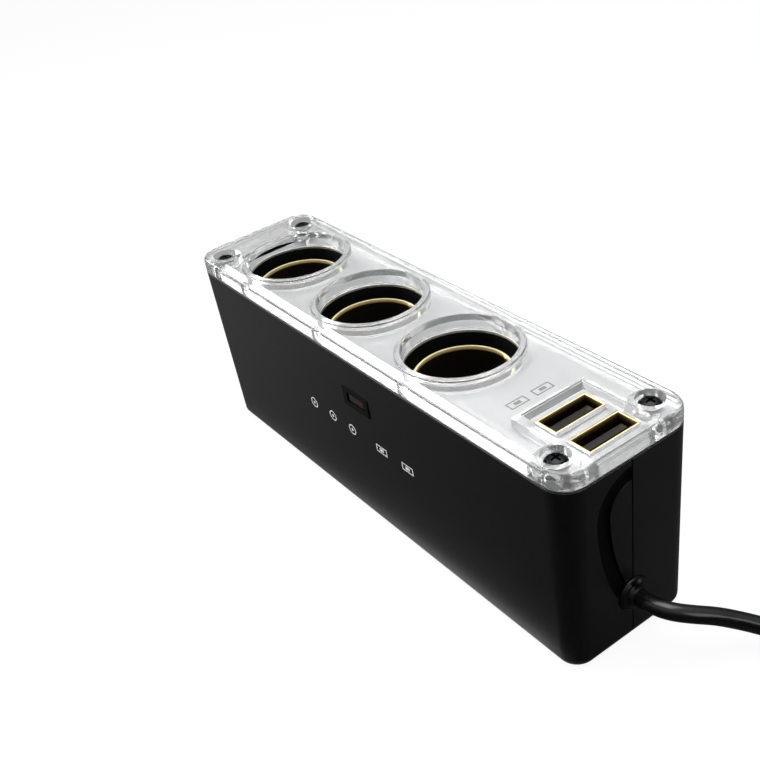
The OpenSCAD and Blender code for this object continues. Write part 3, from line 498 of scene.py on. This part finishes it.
strip = worked_out(paper_tree, "MULTIPLY", on_floor("X", STRIP_X), on_floor("Y", STRIP_Y))
around = worked_out(paper_tree, "ADD", on_floor("X", GLOSS_X), on_floor("Y", GLOSS_Y))
in_gloss = paper_tree.nodes.new("ShaderNodeEmission")
paper_tree.links.new(worked_out(paper_tree, "ADD", around, strip), in_gloss.inputs["Strength"])
paper_look = seen_by(paper_tree, ["Is Glossy Ray"], paper_look, in_gloss.outputs[0])
paper_tree.links.new(paper_look, paper_tree.nodes["Material Output"].inputs["Surface"])
print("floor's material:", len(paper_tree.nodes), "nodes")

# %% The floor's sheet
FLOOR_HALF = 6
floor_mesh = bmesh.new()
bmesh.ops.create_grid(floor_mesh, x_segments=1, y_segments=1, size=FLOOR_HALF)
floor_data = bpy.data.meshes.new("floor")
floor_mesh.to_mesh(floor_data)
floor_mesh.free()
floor_data.materials.append(paper)
floor = bpy.data.objects.new("floor", floor_data)
bpy.context.scene.collection.objects.link(floor)
print("floor:", 2 * FLOOR_HALF, "m wide")

# %% [markdown]
# The plastic and the cover mirror what stands over and round them. A picture of a studio could be put there, but a
# script that stands alone has none. So the world is a dome whose grey follows the height: dim near the horizon and
# bright overhead for the gloss, and lighter near the horizon for the light that comes through the cover.

# %% The world
SKY_STRENGTH = 0.55
SKY_IN_GLOSS = [(0, 0.1), (0.3, 0.16), (0.46, 0.42), (0.6, 0.85), (0.75, 1)]
SKY_IN_CLEAR = [(0, 0.45), (0.33, 0.55), (0.4, 0.36), (0.46, 0.42), (0.6, 0.85), (0.75, 1)]

world = bpy.data.worlds.new("studio")
world.use_nodes = True
bpy.context.scene.world = world
world_tree = world.node_tree
sky = world_tree.nodes["Background"]
sky.inputs["Color"].default_value = (1, 1, 1, 1)
sky.inputs["Strength"].default_value = SKY_STRENGTH
look_up = world_tree.nodes.new("ShaderNodeTexCoord")
parts = world_tree.nodes.new("ShaderNodeSeparateXYZ")
world_tree.links.new(look_up.outputs["Generated"], parts.inputs[0])
world_look = sky.outputs[0]
for ray, steps in (("Is Glossy Ray", SKY_IN_GLOSS), ("Is Transmission Ray", SKY_IN_CLEAR)):
    height = filled_ramp(world_tree, greys(steps))
    world_tree.links.new(parts.outputs["Z"], height.inputs["Fac"])
    dome = world_tree.nodes.new("ShaderNodeEmission")
    world_tree.links.new(height.outputs["Color"], dome.inputs["Color"])
    world_look = seen_by(world_tree, [ray], world_look, dome.outputs[0])
world_look = seen_by(world_tree, ["Is Camera Ray"], world_look, plain_glow(world_tree, 1))
world_tree.links.new(world_look, world_tree.nodes["World Output"].inputs["Surface"])
bpy.context.scene.view_settings.view_transform = "Standard"
print("world:", len(world_tree.nodes), "nodes")

# %% [markdown]
# Three area lamps stand for the soft boxes of a studio: a wide one overhead, a wide one at the left, and a weak one
# at the right that only lifts the end. Point lamps or a sun would cast hard shadows on the floor.

# %% Lamps
LAMPS = {
    "lamp_over": ((0, 40, 420), (20, 0, 30), 380, 2.6),
    "lamp_left": ((-330, -260, 260), (0, 0, 20), 300, 2.2),
    "lamp_right": ((420, 60, 160), (60, 0, 20), 200, 0.4),
}
for name, (place, aim, size, watts) in LAMPS.items():
    light = bpy.data.lights.new(name, "AREA")
    light.size = size * MM
    light.energy = watts
    lamp = bpy.data.objects.new(name, light)
    bpy.context.scene.collection.objects.link(lamp)
    lamp.location = Vector(place) * MM
    lamp.rotation_euler = (Vector(aim) - Vector(place)).to_track_quat("-Z", "Y").to_euler()
print("lamps:", len(LAMPS))

# %% [markdown]
# ## The housing, its plate and its clear cover
#
# The housing is moulded in two halves that meet in a fine seam. The plate lies on its walls, and the cover
# stands on the plate as a clear shell, with a ring wall round each socket. The cover's foot is lifted by a hair,
# so that the render engine never has to choose between two surfaces in one place.

# %% The cover's foot
TOP_Z = 47.2
FOOT_LIFT = 0.03


def lift_foot(solid):
    """Raises the cover's lowest points off the plate."""
    for vert in solid.verts:
        if vert.co.z < (TOP_Z + FOOT_LIFT / 2) * MM:
            vert.co.z += FOOT_LIFT * MM


# %% [markdown]
# The walls of the plate's slit and the sunk faces of the groove in the right end lie in shade on the real object, so
# that shade is painted on them as a near-black colour of their own. It could be painted with a mask, but marking the
# faces by their place is simpler, and it stays sharp along the edges.

# %% Marks for the painted shade
END_X = 71
WALL_LEAN = 1.1 / TOP_Z
GROOVE_BOX = ((-13, 11.5), (0.4, 45))
GROOVE_SUNK = (0.25, 2.2)
TURNED_IN = -0.3


def mark_groove(solid):
    """Gives the sunk faces of the groove in the right end the painted shade."""
    for face in solid.faces:
        spot = face.calc_center_median() / MM
        sunk = END_X - WALL_LEAN * (TOP_Z - spot.z) - spot.x
        inside = GROOVE_BOX[0][0] < spot.y < GROOVE_BOX[1][0] and GROOVE_BOX[0][1] < spot.z < GROOVE_BOX[1][1]
        hollow = GROOVE_SUNK[0] < sunk < GROOVE_SUNK[1] and face.normal.x > TURNED_IN
        face.material_index = 1 if inside and hollow else 0


SLIT_BOX = ((-64.4, -9.7), (-61.6, 9.7))
UPRIGHT = 0.9


def mark_slit(solid):
    """Gives the walls of the plate's slit the painted shade."""
    for face in solid.faces:
        spot = face.calc_center_median() / MM
        inside = SLIT_BOX[0][0] < spot.x < SLIT_BOX[1][0] and SLIT_BOX[0][1] < spot.y < SLIT_BOX[1][1]
        face.material_index = 1 if inside and abs(face.normal.z) < UPRIGHT else 0


# %% Housing, plate, cover
SHELL_EDGE, PLATE_EDGE, COVER_EDGE = 0.18, 0.08, 0.22
softened("front_shell", SHELL_EDGE, change=mark_groove)
softened("rear_shell", SHELL_EDGE)
softened("face_plate", PLATE_EDGE, 2, change=mark_slit)
softened("clear_cover", COVER_EDGE, change=lift_foot)
HOUSING = ("front_shell", "rear_shell", "face_plate", "clear_cover")
print("housing pieces:", [(n, len(dressed[n].data.polygons)) for n in HOUSING])

# %% [markdown]
# ## Sockets and charging ports
#
# A black sleeve lines each hole, and the metal shell in it ends in a rolled rim that shines. The rim is round in the
# solid already, so the shell gets no bevel. The charging ports are thin stamped shells round a dark tongue, with room
# for narrow rounds only. Their outer sides are marked, because under the cover they look paler than their rims.

# %% Sleeves and socket shells
SLEEVE_EDGE = 0.15
for number in (1, 2, 3):
    softened(f"socket_sleeve_{number}", SLEEVE_EDGE, 2, ringed=True)
    softened(f"socket_shell_{number}", 0)
print("socket pieces:", sum(n.startswith("socket") for n in dressed))

# %% Charging ports
PORT_EDGE, TONGUE_EDGE = 0.08, 0.12
PORT_X = {1: 55, 2: 64}
PORT_HALF = (2.7, 6.4)


def mark_outer_sides(middle_x):
    """Gives the outer sides of a port shell, below its rim, the second finish."""
    def change(solid):
        for face in solid.faces:
            spot, way = face.calc_center_median() / MM, face.normal
            off = spot.x - middle_x
            across = abs(off) > PORT_HALF[0] and abs(way.x) > UPRIGHT and off * way.x > 0
            along = abs(spot.y) > PORT_HALF[1] and abs(way.y) > UPRIGHT and spot.y * way.y > 0
            face.material_index = 1 if across or along else 0
    return change


for number in (1, 2):
    softened(f"port_shell_{number}", PORT_EDGE, 2, change=mark_outer_sides(PORT_X[number]))
    softened(f"port_tongue_{number}", TONGUE_EDGE, 2)
print("pieces so far:", len(dressed))

# %% [markdown]
# ## Cover screws
#
# The four screws have low domed heads with a cross recess and a ribbed side, which shows inside their recesses.
# The ribs could be cut with a boolean, but bars that sink into the head look the same and leave its mesh alone. So
# the ribs are small square bars turned on edge, and a ridge is left of each.

# %% Screws with ribbed heads
SCREW_AT = [(x, y) for x in (-64, 64) for y in (-12.4, 12.4)]
SCREW_SEAT = 48.8
HEAD_R = 2.2
RIB_COUNT = 26
RIB_SIDE = 0.3
RIB_H = 0.95
RIB_CLEAR = 0.02
RIB_SUNK = 0.04
HEAD_EDGE = 0.12


def add_ribs(solid):
    """Stands small ridges round each screw head."""
    for x, y in SCREW_AT:
        for i in range(RIB_COUNT):
            angle = 2 * math.pi * i / RIB_COUNT
            place = Matrix.Translation(Vector((x, y, SCREW_SEAT + RIB_H / 2 + RIB_CLEAR)) * MM)
            place @= Matrix.Rotation(angle, 4, "Z")
            place @= Matrix.Translation(Vector((HEAD_R - RIB_SUNK, 0, 0)) * MM)
            place @= Matrix.Rotation(math.radians(45), 4, "Z")
            place @= Matrix.Diagonal((RIB_SIDE * MM, RIB_SIDE * MM, RIB_H * MM, 1))
            bmesh.ops.create_cube(solid, size=1, matrix=place)


softened("cover_screws", HEAD_EDGE, 2, change=add_ribs)
print("ribs:", RIB_COUNT * len(SCREW_AT))

# %% [markdown]
# ## Lamp and strain relief
#
# The lamp is a small bezel that stands a little proud of the front, round a dark lens. The strain relief is a
# soft flange with a short nose, and it has a small round lug on top where it is pressed into the housing. The lug
# is a sphere, squeezed a little and half sunk in the flange, because nothing of the sunk half ever shows.

# %% Lamp and strain relief
LUG_R = 1.25
LUG_AT = (72.05, 0, 16.2)
LUG_SHAPE = (0.6, 1, 0.9, 1)
BEZEL_EDGE, LENS_EDGE, GLAND_EDGE = 0.22, 0.3, 0.25


def add_lug(solid):
    """A round lug on top of the strain relief's flange."""
    place = Matrix.Translation(Vector(LUG_AT) * MM) @ Matrix.Diagonal(LUG_SHAPE)
    bmesh.ops.create_uvsphere(solid, u_segments=20, v_segments=12, radius=LUG_R * MM, matrix=place)


softened("lamp_bezel", BEZEL_EDGE)
softened("lamp_lens", LENS_EDGE)
softened("cord_gland", GLAND_EDGE, change=add_lug)

# %% [markdown]
# ## Printed marks
#
# A row of small light signs is printed on the front below the lamp, and dark ones beside the ports: a ring with a
# dot for each socket, and a slot with a bar for each port. An image texture could carry them, but a shape stays
# sharp from close by. So each sign is cut from a flat shape with an inset, gets a hair of thickness, and is then
# laid on its surface.

# %% One flat sign
RING_RIM = 0.11
DOT_SHARE = 1 / 7
SLOT_RIM = 0.08
BAR_SHARE = 0.4
SLOT_LONG, SLOT_ROUNDER, SLOT_HIGH = 0.95, 0.15, 0.55


def sign(solid, kind, u, v, size):
    """A ring with a dot, or a slot with a bar, drawn flat at (u, v)."""
    middle = Matrix.Translation((u, v, 0))
    if kind == "socket":
        for radius, hollow in ((size / 2, True), (size * DOT_SHARE, False)):
            made = bmesh.ops.create_circle(solid, cap_ends=True, segments=36, radius=radius, matrix=middle)
            if hollow:
                hollow_out(solid, made["verts"], size * RING_RIM)
        return
    for share, hollow in ((1, True), (BAR_SHARE, False)):
        long, high = (SLOT_LONG + SLOT_ROUNDER * share) * share, SLOT_HIGH * share
        stretch = Matrix.Diagonal((size * long, size * high, 1, 1))
        made = bmesh.ops.create_grid(solid, x_segments=1, y_segments=1, size=0.5, matrix=middle @ stretch)
        if hollow:
            hollow_out(solid, made["verts"], size * SLOT_RIM)


def hollow_out(solid, verts, width):
    """Leaves only a rim of a flat face."""
    faces = list({f for v in verts for f in v.link_faces})
    bmesh.ops.inset_region(solid, faces=faces, thickness=width, use_boundary=True, use_even_offset=True)
    bmesh.ops.delete(solid, geom=faces, context="FACES")


# %% Signs laid on a surface
PRINT_T = 0.03


def laid(name, signs, place):
    """A piece of print made of signs, given its thickness and laid where it belongs."""
    solid = bmesh.new()
    for kind, u, v, size in signs:
        sign(solid, kind, u, v, size)
    bmesh.ops.recalc_face_normals(solid, faces=solid.faces)
    bmesh.ops.solidify(solid, geom=solid.faces[:], thickness=PRINT_T)
    bmesh.ops.transform(solid, matrix=place, verts=solid.verts)
    bmesh.ops.transform(solid, matrix=Matrix.Scale(MM, 4), verts=solid.verts)
    bmesh.ops.recalc_face_normals(solid, faces=solid.faces)
    data = bpy.data.meshes.new(name)
    solid.to_mesh(data)
    solid.free()
    return finish_piece(bpy.data.objects.new(name, data), HOME)


# %% Marks on the front and beside the ports
PRINT_Z = 25.7
FRONT_TOP_Y = 17.4
FRONT_PRINT_X, PLATE_PRINT_X = 0.5, 43.2
HAIR = 0.01
FRONT_SIGNS = [
    ("socket", -20.5, 0, 2.9), ("socket", -12, 0, 2.9), ("socket", -3.5, 0, 2.9),
    ("port", 8.5, 0, 3.8), ("port", 18.5, 0, 3.8),
]
PLATE_SIGNS = [("port", -3.4, 0, 4.4), ("port", 3.4, 0, 4.4)]
front_y = -(FRONT_TOP_Y - WALL_LEAN * (TOP_Z - PRINT_Z))
up_wall = Vector((0, -WALL_LEAN, 1)).normalized()
out_wall = Vector((0, -1, -WALL_LEAN)).normalized()
wall_turn = Matrix((Vector((1, 0, 0)), up_wall, out_wall)).transposed()
on_front = Matrix.Translation((FRONT_PRINT_X, front_y - HAIR, PRINT_Z)) @ wall_turn.to_4x4()
front_print = laid("front_print", FRONT_SIGNS, on_front)
on_plate = Matrix.Translation((PLATE_PRINT_X, 0, TOP_Z + HAIR)) @ Matrix.Rotation(math.radians(90), 4, "Z")
plate_print = laid("plate_print", PLATE_SIGNS, on_plate)
print("print:", len(front_print.data.polygons) + len(plate_print.data.polygons), "faces")

# %% [markdown]
# ## Finishes
#
# Each finish is a small node tree on Object coordinates, so a pattern keeps its real size on every piece, which
# image textures would need an unwrapped mesh for. The helpers below make a material with its shader, and add the
# fine unevenness that moulded plastic, rubber and brushed metal have.

# %% A finish with plain values


def new_finish(name, colour, roughness, **settings):
    """A material with plain values on its shader's own sockets."""
    material = bpy.data.materials.new(name)
    material.use_nodes = True
    material.diffuse_color = (*colour, 1)
    shader = material.node_tree.nodes["Principled BSDF"]
    shader.inputs["Base Color"].default_value = (*colour, 1)
    shader.inputs["Roughness"].default_value = roughness
    for socket, value in settings.items():
        shader.inputs[socket.replace("_", " ")].default_value = value
    return material


# %% Patterns that move a value, the colour or the relief
PATTERN_SPAN = (0.3, 0.7)
TINT_SPAN = (0.35, 0.65)


def noise_on(material, scale, stretch=(1, 1, 1), detail=4):
    """Noise in the material, with its size given as a scale per metre along each axis."""
    tree = material.node_tree
    place = tree.nodes.new("ShaderNodeTexCoord")
    mapping = tree.nodes.new("ShaderNodeMapping")
    mapping.inputs["Scale"].default_value = [s * scale for s in stretch]
    noise = tree.nodes.new("ShaderNodeTexNoise")
    noise.inputs["Scale"].default_value = 1
    noise.inputs["Detail"].default_value = detail
    tree.links.new(place.outputs["Object"], mapping.inputs["Vector"])
    tree.links.new(mapping.outputs["Vector"], noise.inputs["Vector"])
    return noise.outputs["Fac"]


def spread(material, fac, low, high, socket):
    """Lets a pattern move one of the shader's values between two limits."""
    tree = material.node_tree
    span = tree.nodes.new("ShaderNodeMapRange")
    for limit, value in zip(("From Min", "From Max", "To Min", "To Max"), (*PATTERN_SPAN, low, high)):
        span.inputs[limit].default_value = value
    tree.links.new(fac, span.inputs["Value"])
    tree.links.new(span.outputs["Result"], tree.nodes["Principled BSDF"].inputs[socket])


def tint(material, fac, low, high):
    """Lets a pattern move the shader's colour between two colours."""
    tree = material.node_tree
    ramp = tree.nodes.new("ShaderNodeValToRGB")
    for stop, position, colour in zip(ramp.color_ramp.elements, TINT_SPAN, (low, high)):
        stop.position = position
        stop.color = (*colour, 1)
    tree.links.new(fac, ramp.inputs["Fac"])
    tree.links.new(ramp.outputs["Color"], tree.nodes["Principled BSDF"].inputs["Base Color"])


def bump(material, fac, depth_mm, strength=1):
    """Presses a pattern into the surface."""
    tree = material.node_tree
    relief = tree.nodes.new("ShaderNodeBump")
    relief.inputs["Strength"].default_value = strength
    relief.inputs["Distance"].default_value = depth_mm * MM
    tree.links.new(fac, relief.inputs["Height"])
    tree.links.new(relief.outputs["Normal"], tree.nodes["Principled BSDF"].inputs["Normal"])


# %% Putting a finish on pieces


def paint(material, *names):
    """Gives CAD nodes, and the copies that stand for them, a finish. Marked faces keep their mark."""
    for name in names:
        for piece in (nodes[name], dressed.get(name)):
            if piece and piece.data.materials:
                piece.data.materials[0] = material
            elif piece:
                piece.data.materials.append(material)


def by_height(material, steps):
    """Lets the shader's colour follow the height in mm: (height, colour) from the lowest up."""
    tree = material.node_tree
    tree.links.new(colour_along(tree, "Z", steps), tree.nodes["Principled BSDF"].inputs["Base Color"])


# %% [markdown]
# ## Black plastic and rubber
#
# The housing is satin black plastic: close to black, with a broad soft sheen and a fine moulded grain. One colour
# with one roughness would look like paint, so a fine noise moves the roughness and the relief. Its colour is greyer
# over the lowest 1.9 mm of the foot, a painted reflection of the white table. The socket sleeves and the plug are the
# same plastic with less and more shine, and the strain reliefs and the lead are softer and smoother.

# %% Satin black housing
satin_black = new_finish("satin_black", (0.002, 0.002, 0.0021), 0.38, Specular_IOR_Level=0.42)
housing_grain = noise_on(satin_black, 2600, detail=3)
spread(satin_black, housing_grain, 0.3, 0.38, "Roughness")
bump(satin_black, housing_grain, 0.012, 0.35)
# Painted reflection: the colour is greyer over the lowest 1.9 mm, where the foot would show the white table.
by_height(satin_black, [
    (0, (0.05, 0.05, 0.052)), (1.1, (0.03, 0.03, 0.031)),
    (1.9, (0.0025, 0.0025, 0.0026)), (47.2, (0.002, 0.002, 0.0021)),
])
paint(satin_black, "front_shell", "rear_shell")
# Painted shade: the sunk faces of the groove in the right end are near black, as they lie in shade on the real
# object.
groove_painted_shade = new_finish("groove_painted_shade", (0.0012, 0.0012, 0.0012), 0.5, Specular_IOR_Level=0.08)
spread(groove_painted_shade, noise_on(groove_painted_shade, 2600, detail=3), 0.45, 0.6, "Roughness")
dressed["front_shell"].data.materials.append(groove_painted_shade)
print("front half:", [m.name for m in dressed["front_shell"].data.materials])

# %% Black plastic of the sleeves, the plug and the lamp's bezel
sleeve_black = new_finish("sleeve_black", (0.0008, 0.0008, 0.0008), 0.55, Specular_IOR_Level=0.015)
spread(sleeve_black, noise_on(sleeve_black, 1800), 0.4, 0.55, "Roughness")
paint(sleeve_black, *(n for n in nodes if n.startswith("socket_sleeve")))
tie_weave = new_finish("tie_weave", (0.008, 0.008, 0.0085), 0.8, Sheen_Weight=0.3)
tie_threads = noise_on(tie_weave, 2200, (1, 1, 3))
spread(tie_weave, tie_threads, 0.7, 0.95, "Roughness")
bump(tie_weave, tie_threads, 0.08, 0.7)
paint(tie_weave, "coil_tie")
gloss_black = new_finish("gloss_black", (0.006, 0.006, 0.0065), 0.16)
spread(gloss_black, noise_on(gloss_black, 900), 0.12, 0.22, "Roughness")
paint(gloss_black, "plug_upper", "plug_lower", "plug_cap", "regulator_chip")
bezel_black = new_finish("bezel_black", (0.001, 0.001, 0.001), 0.5, Specular_IOR_Level=0.15)
spread(bezel_black, noise_on(bezel_black, 1500), 0.45, 0.55, "Roughness")
paint(bezel_black, "lamp_bezel")
port_black = new_finish("port_black", (0.004, 0.0025, 0.002), 0.35, Specular_IOR_Level=0.3)
spread(port_black, noise_on(port_black, 1200), 0.25, 0.4, "Roughness")
paint(port_black, "port_tongue_1", "port_tongue_2")
print("finishes so far:", len(bpy.data.materials))

# %% Rubber of the strain reliefs and the lead's jacket
gland_black = new_finish("gland_black", (0.002, 0.002, 0.002), 0.34, Specular_IOR_Level=0.22)
spread(gland_black, noise_on(gland_black, 1500), 0.26, 0.4, "Roughness")
paint(gland_black, "cord_gland", "plug_relief")
jacket_black = new_finish("jacket_black", (0.003, 0.003, 0.0033), 0.2, Specular_IOR_Level=0.36)
jacket_noise = noise_on(jacket_black, 700)
spread(jacket_black, jacket_noise, 0.16, 0.26, "Roughness")
bump(jacket_black, jacket_noise, 0.02, 0.3)
lead.data.materials.append(jacket_black)
print("jacket:", lead.data.materials[0].name)

# %% [markdown]
# ## Clear cover
#
# The cover is polished acrylic, so its looks come from refraction in a shell of the real thickness: nearly all the
# light passes through, with an index of 1.45 and a very small roughness. A small share of it is scattered, as by the
# fine scratches of a moulded cover. A mix of transparent and glossy shaders renders faster, but it doesn't bend the
# light, and the bent light along the ring walls is what makes the cover look thick.

# %% Clear acrylic
clear_acrylic = new_finish("clear_acrylic", (0.98, 0.985, 0.985), 0.015, IOR=1.45, Transmission_Weight=0.93)
paint(clear_acrylic, "clear_cover")
print("cover:", clear_acrylic.name)

# %% [markdown]
# ## Metals
#
# The plate is aluminium brushed along its length. An anisotropic shader shows that too, but it needs tangents, and
# noise stretched into long thin streaks only needs a scale. The streaks move its roughness and its relief.

# %% Brushed plate
brushed_plate = new_finish("brushed_plate", (0.62, 0.62, 0.63), 0.35, Metallic=1.0)
streaks = noise_on(brushed_plate, 1, (30, 4200, 4200), detail=6)
spread(brushed_plate, streaks, 0.28, 0.46, "Roughness")
bump(brushed_plate, streaks, 0.004, 0.4)
paint(brushed_plate, "face_plate")
# Painted shade: the walls of the plate's slit are near black, as they lie in shade on the real object.
slit_painted_shade = new_finish("slit_painted_shade", (0.002, 0.002, 0.002), 0.6, Specular_IOR_Level=0.1)
spread(slit_painted_shade, noise_on(slit_painted_shade, 1500), 0.5, 0.7, "Roughness")
dressed["face_plate"].data.materials.append(slit_painted_shade)
print("plate:", [m.name for m in dressed["face_plate"].data.materials])

# %% [markdown]
# The socket shells are brass, and their colour follows the height: for most of their height below the rim they are
# painted almost black, a painted shade in the bore, and the rim turns from brass to pale yellow at its top, a painted
# highlight. The rims of the charging ports are gilt, and their sides under the cover are pale. Inside, the port
# shells are painted near black below the rim, a painted shade, and a little paler at its very top, a painted
# highlight. A mask could be painted for both, but the height alone tells the rim from the bore.

# %% Brass of the contacts and the socket shells
brass = new_finish("brass", (0.78, 0.58, 0.25), 0.2, Metallic=1.0)
spread(brass, noise_on(brass, 1400), 0.36, 0.44, "Roughness")
paint(brass, *(n for n in nodes if n.startswith("centre_contact")), "positive_strip", "fuse_contact")
shell_brass_painted_light = new_finish("shell_brass_painted_light", (0.9, 0.72, 0.36), 0.3, Metallic=0.55)
spread(shell_brass_painted_light, noise_on(shell_brass_painted_light, 900), 0.3, 0.38, "Roughness")
# Painted shade and highlight: near black in the bore, brass at the rim, pale yellow at its top.
by_height(shell_brass_painted_light, [
    (0, (0.2, 0.13, 0.05)), (8, (0.01, 0.008, 0.005)), (43.35, (0.012, 0.009, 0.006)),
    (43.6, (1, 0.66, 0.2)), (43.9, (1, 0.84, 0.36)), (44.3, (1, 0.96, 0.62)),
])
paint(shell_brass_painted_light, *(n for n in nodes if n.startswith("socket_shell")))
print("brass:", brass.name, shell_brass_painted_light.name)

# %% Gilt of the charging ports
gilt = new_finish("gilt", (0.83, 0.66, 0.3), 0.22, Metallic=1.0)
spread(gilt, noise_on(gilt, 1400), 0.16, 0.3, "Roughness")
paint(gilt, "port_contacts_1", "port_contacts_2")
port_gilt_painted_shade = new_finish("port_gilt_painted_shade", (0.83, 0.66, 0.3), 0.3, Metallic=0.85)
spread(port_gilt_painted_shade, noise_on(port_gilt_painted_shade, 900), 0.26, 0.36, "Roughness")
# Painted shade: near black below 48.2 mm, gilt at the rim, and a painted highlight a little paler at its very top.
by_height(port_gilt_painted_shade, [
    (30, (0.02, 0.014, 0.006)), (48.2, (0.03, 0.02, 0.009)), (49, (0.3, 0.21, 0.08)), (49.45, (0.85, 0.66, 0.28)),
    (49.7, (0.95, 0.78, 0.4)),
])
paint(port_gilt_painted_shade, "port_shell_1", "port_shell_2")
port_wrap = new_finish("port_wrap", (0.82, 0.82, 0.83), 0.4)
spread(port_wrap, noise_on(port_wrap, 1800), 0.35, 0.5, "Roughness")
for number in (1, 2):
    dressed[f"port_shell_{number}"].data.materials.append(port_wrap)
print("ports:", [m.name for m in dressed["port_shell_1"].data.materials])

# %% Nickel, steel and copper
nickel = new_finish("nickel", (0.7, 0.68, 0.64), 0.18, Metallic=1.0)
spread(nickel, noise_on(nickel, 1100), 0.12, 0.28, "Roughness")
paint(nickel, "plug_tip", "side_contact_front", "side_contact_rear", "negative_strip")
steel = new_finish("steel", (0.55, 0.55, 0.56), 0.28, Metallic=1.0)
spread(steel, noise_on(steel, 1500), 0.22, 0.36, "Roughness")
paint(steel, "plug_screw", "tip_spring")
dark_steel = new_finish("dark_steel", (0.014, 0.014, 0.015), 0.28, Metallic=1.0)
spread(dark_steel, noise_on(dark_steel, 1500), 0.2, 0.36, "Roughness")
paint(dark_steel, "cover_screws")
copper = new_finish("copper", (0.62, 0.3, 0.15), 0.3, Metallic=1.0)
spread(copper, noise_on(copper, 1500), 0.24, 0.4, "Roughness")
paint(copper, "inductor")
print("finishes so far:", len(bpy.data.materials))

# %% [markdown]
# ## Lens, wires, board and print
#
# What lies inside hardly shows, so it gets plain finishes in the colours that such pieces have: a red and a black
# wire, a green board, blue capacitors and brown laminate. The lens is a very dark red. The print is a thin matt
# colour, light on the front and dark on the plate.

# %% Lens, wires, board and the other small pieces
lens_red = new_finish("lens_red", (0.018, 0.006, 0.007), 0.14, Specular_IOR_Level=0.35)
spread(lens_red, noise_on(lens_red, 900), 0.08, 0.16, "Roughness")
paint(lens_red, "lamp_lens", "lamp_bulb")
wire_red = new_finish("wire_red", (0.5, 0.03, 0.03), 0.35)
spread(wire_red, noise_on(wire_red, 900), 0.3, 0.42, "Roughness")
paint(wire_red, "positive_wire", "plug_wires")
paint(jacket_black, "negative_wire")
board_green = new_finish("board_green", (0.02, 0.16, 0.07), 0.35)
tint(board_green, noise_on(board_green, 300), (0.015, 0.13, 0.06), (0.03, 0.2, 0.09))
paint(board_green, "circuit_board")
can_blue = new_finish("can_blue", (0.03, 0.035, 0.12), 0.3)
spread(can_blue, noise_on(can_blue, 900), 0.25, 0.38, "Roughness")
paint(can_blue, "capacitors")
laminate = new_finish("laminate", (0.08, 0.05, 0.03), 0.55)
tint(laminate, noise_on(laminate, 500, (1, 6, 1)), (0.06, 0.035, 0.02), (0.11, 0.07, 0.04))
paint(laminate, *(n for n in nodes if n.startswith("socket_base")))
fuse_glass = new_finish("fuse_glass", (0.9, 0.93, 0.95), 0.05, IOR=1.5, Transmission_Weight=1.0)
paint(fuse_glass, "fuse")
print("finishes so far:", len(bpy.data.materials))

# %% Print
print_light = new_finish("print_light", (0.4, 0.4, 0.41), 0.5)
spread(print_light, noise_on(print_light, 2500), 0.45, 0.6, "Roughness")
front_print.data.materials.append(print_light)
print_dark = new_finish("print_dark", (0.03, 0.03, 0.032), 0.5)
spread(print_dark, noise_on(print_dark, 2500), 0.45, 0.6, "Roughness")
plate_print.data.materials.append(print_dark)
print("print:", print_light.name, print_dark.name)

# %% [markdown]
# ## The last update
#
# The view layer is updated once more after all the pieces are made.

# %% Update the view layer
bpy.context.view_layer.update()
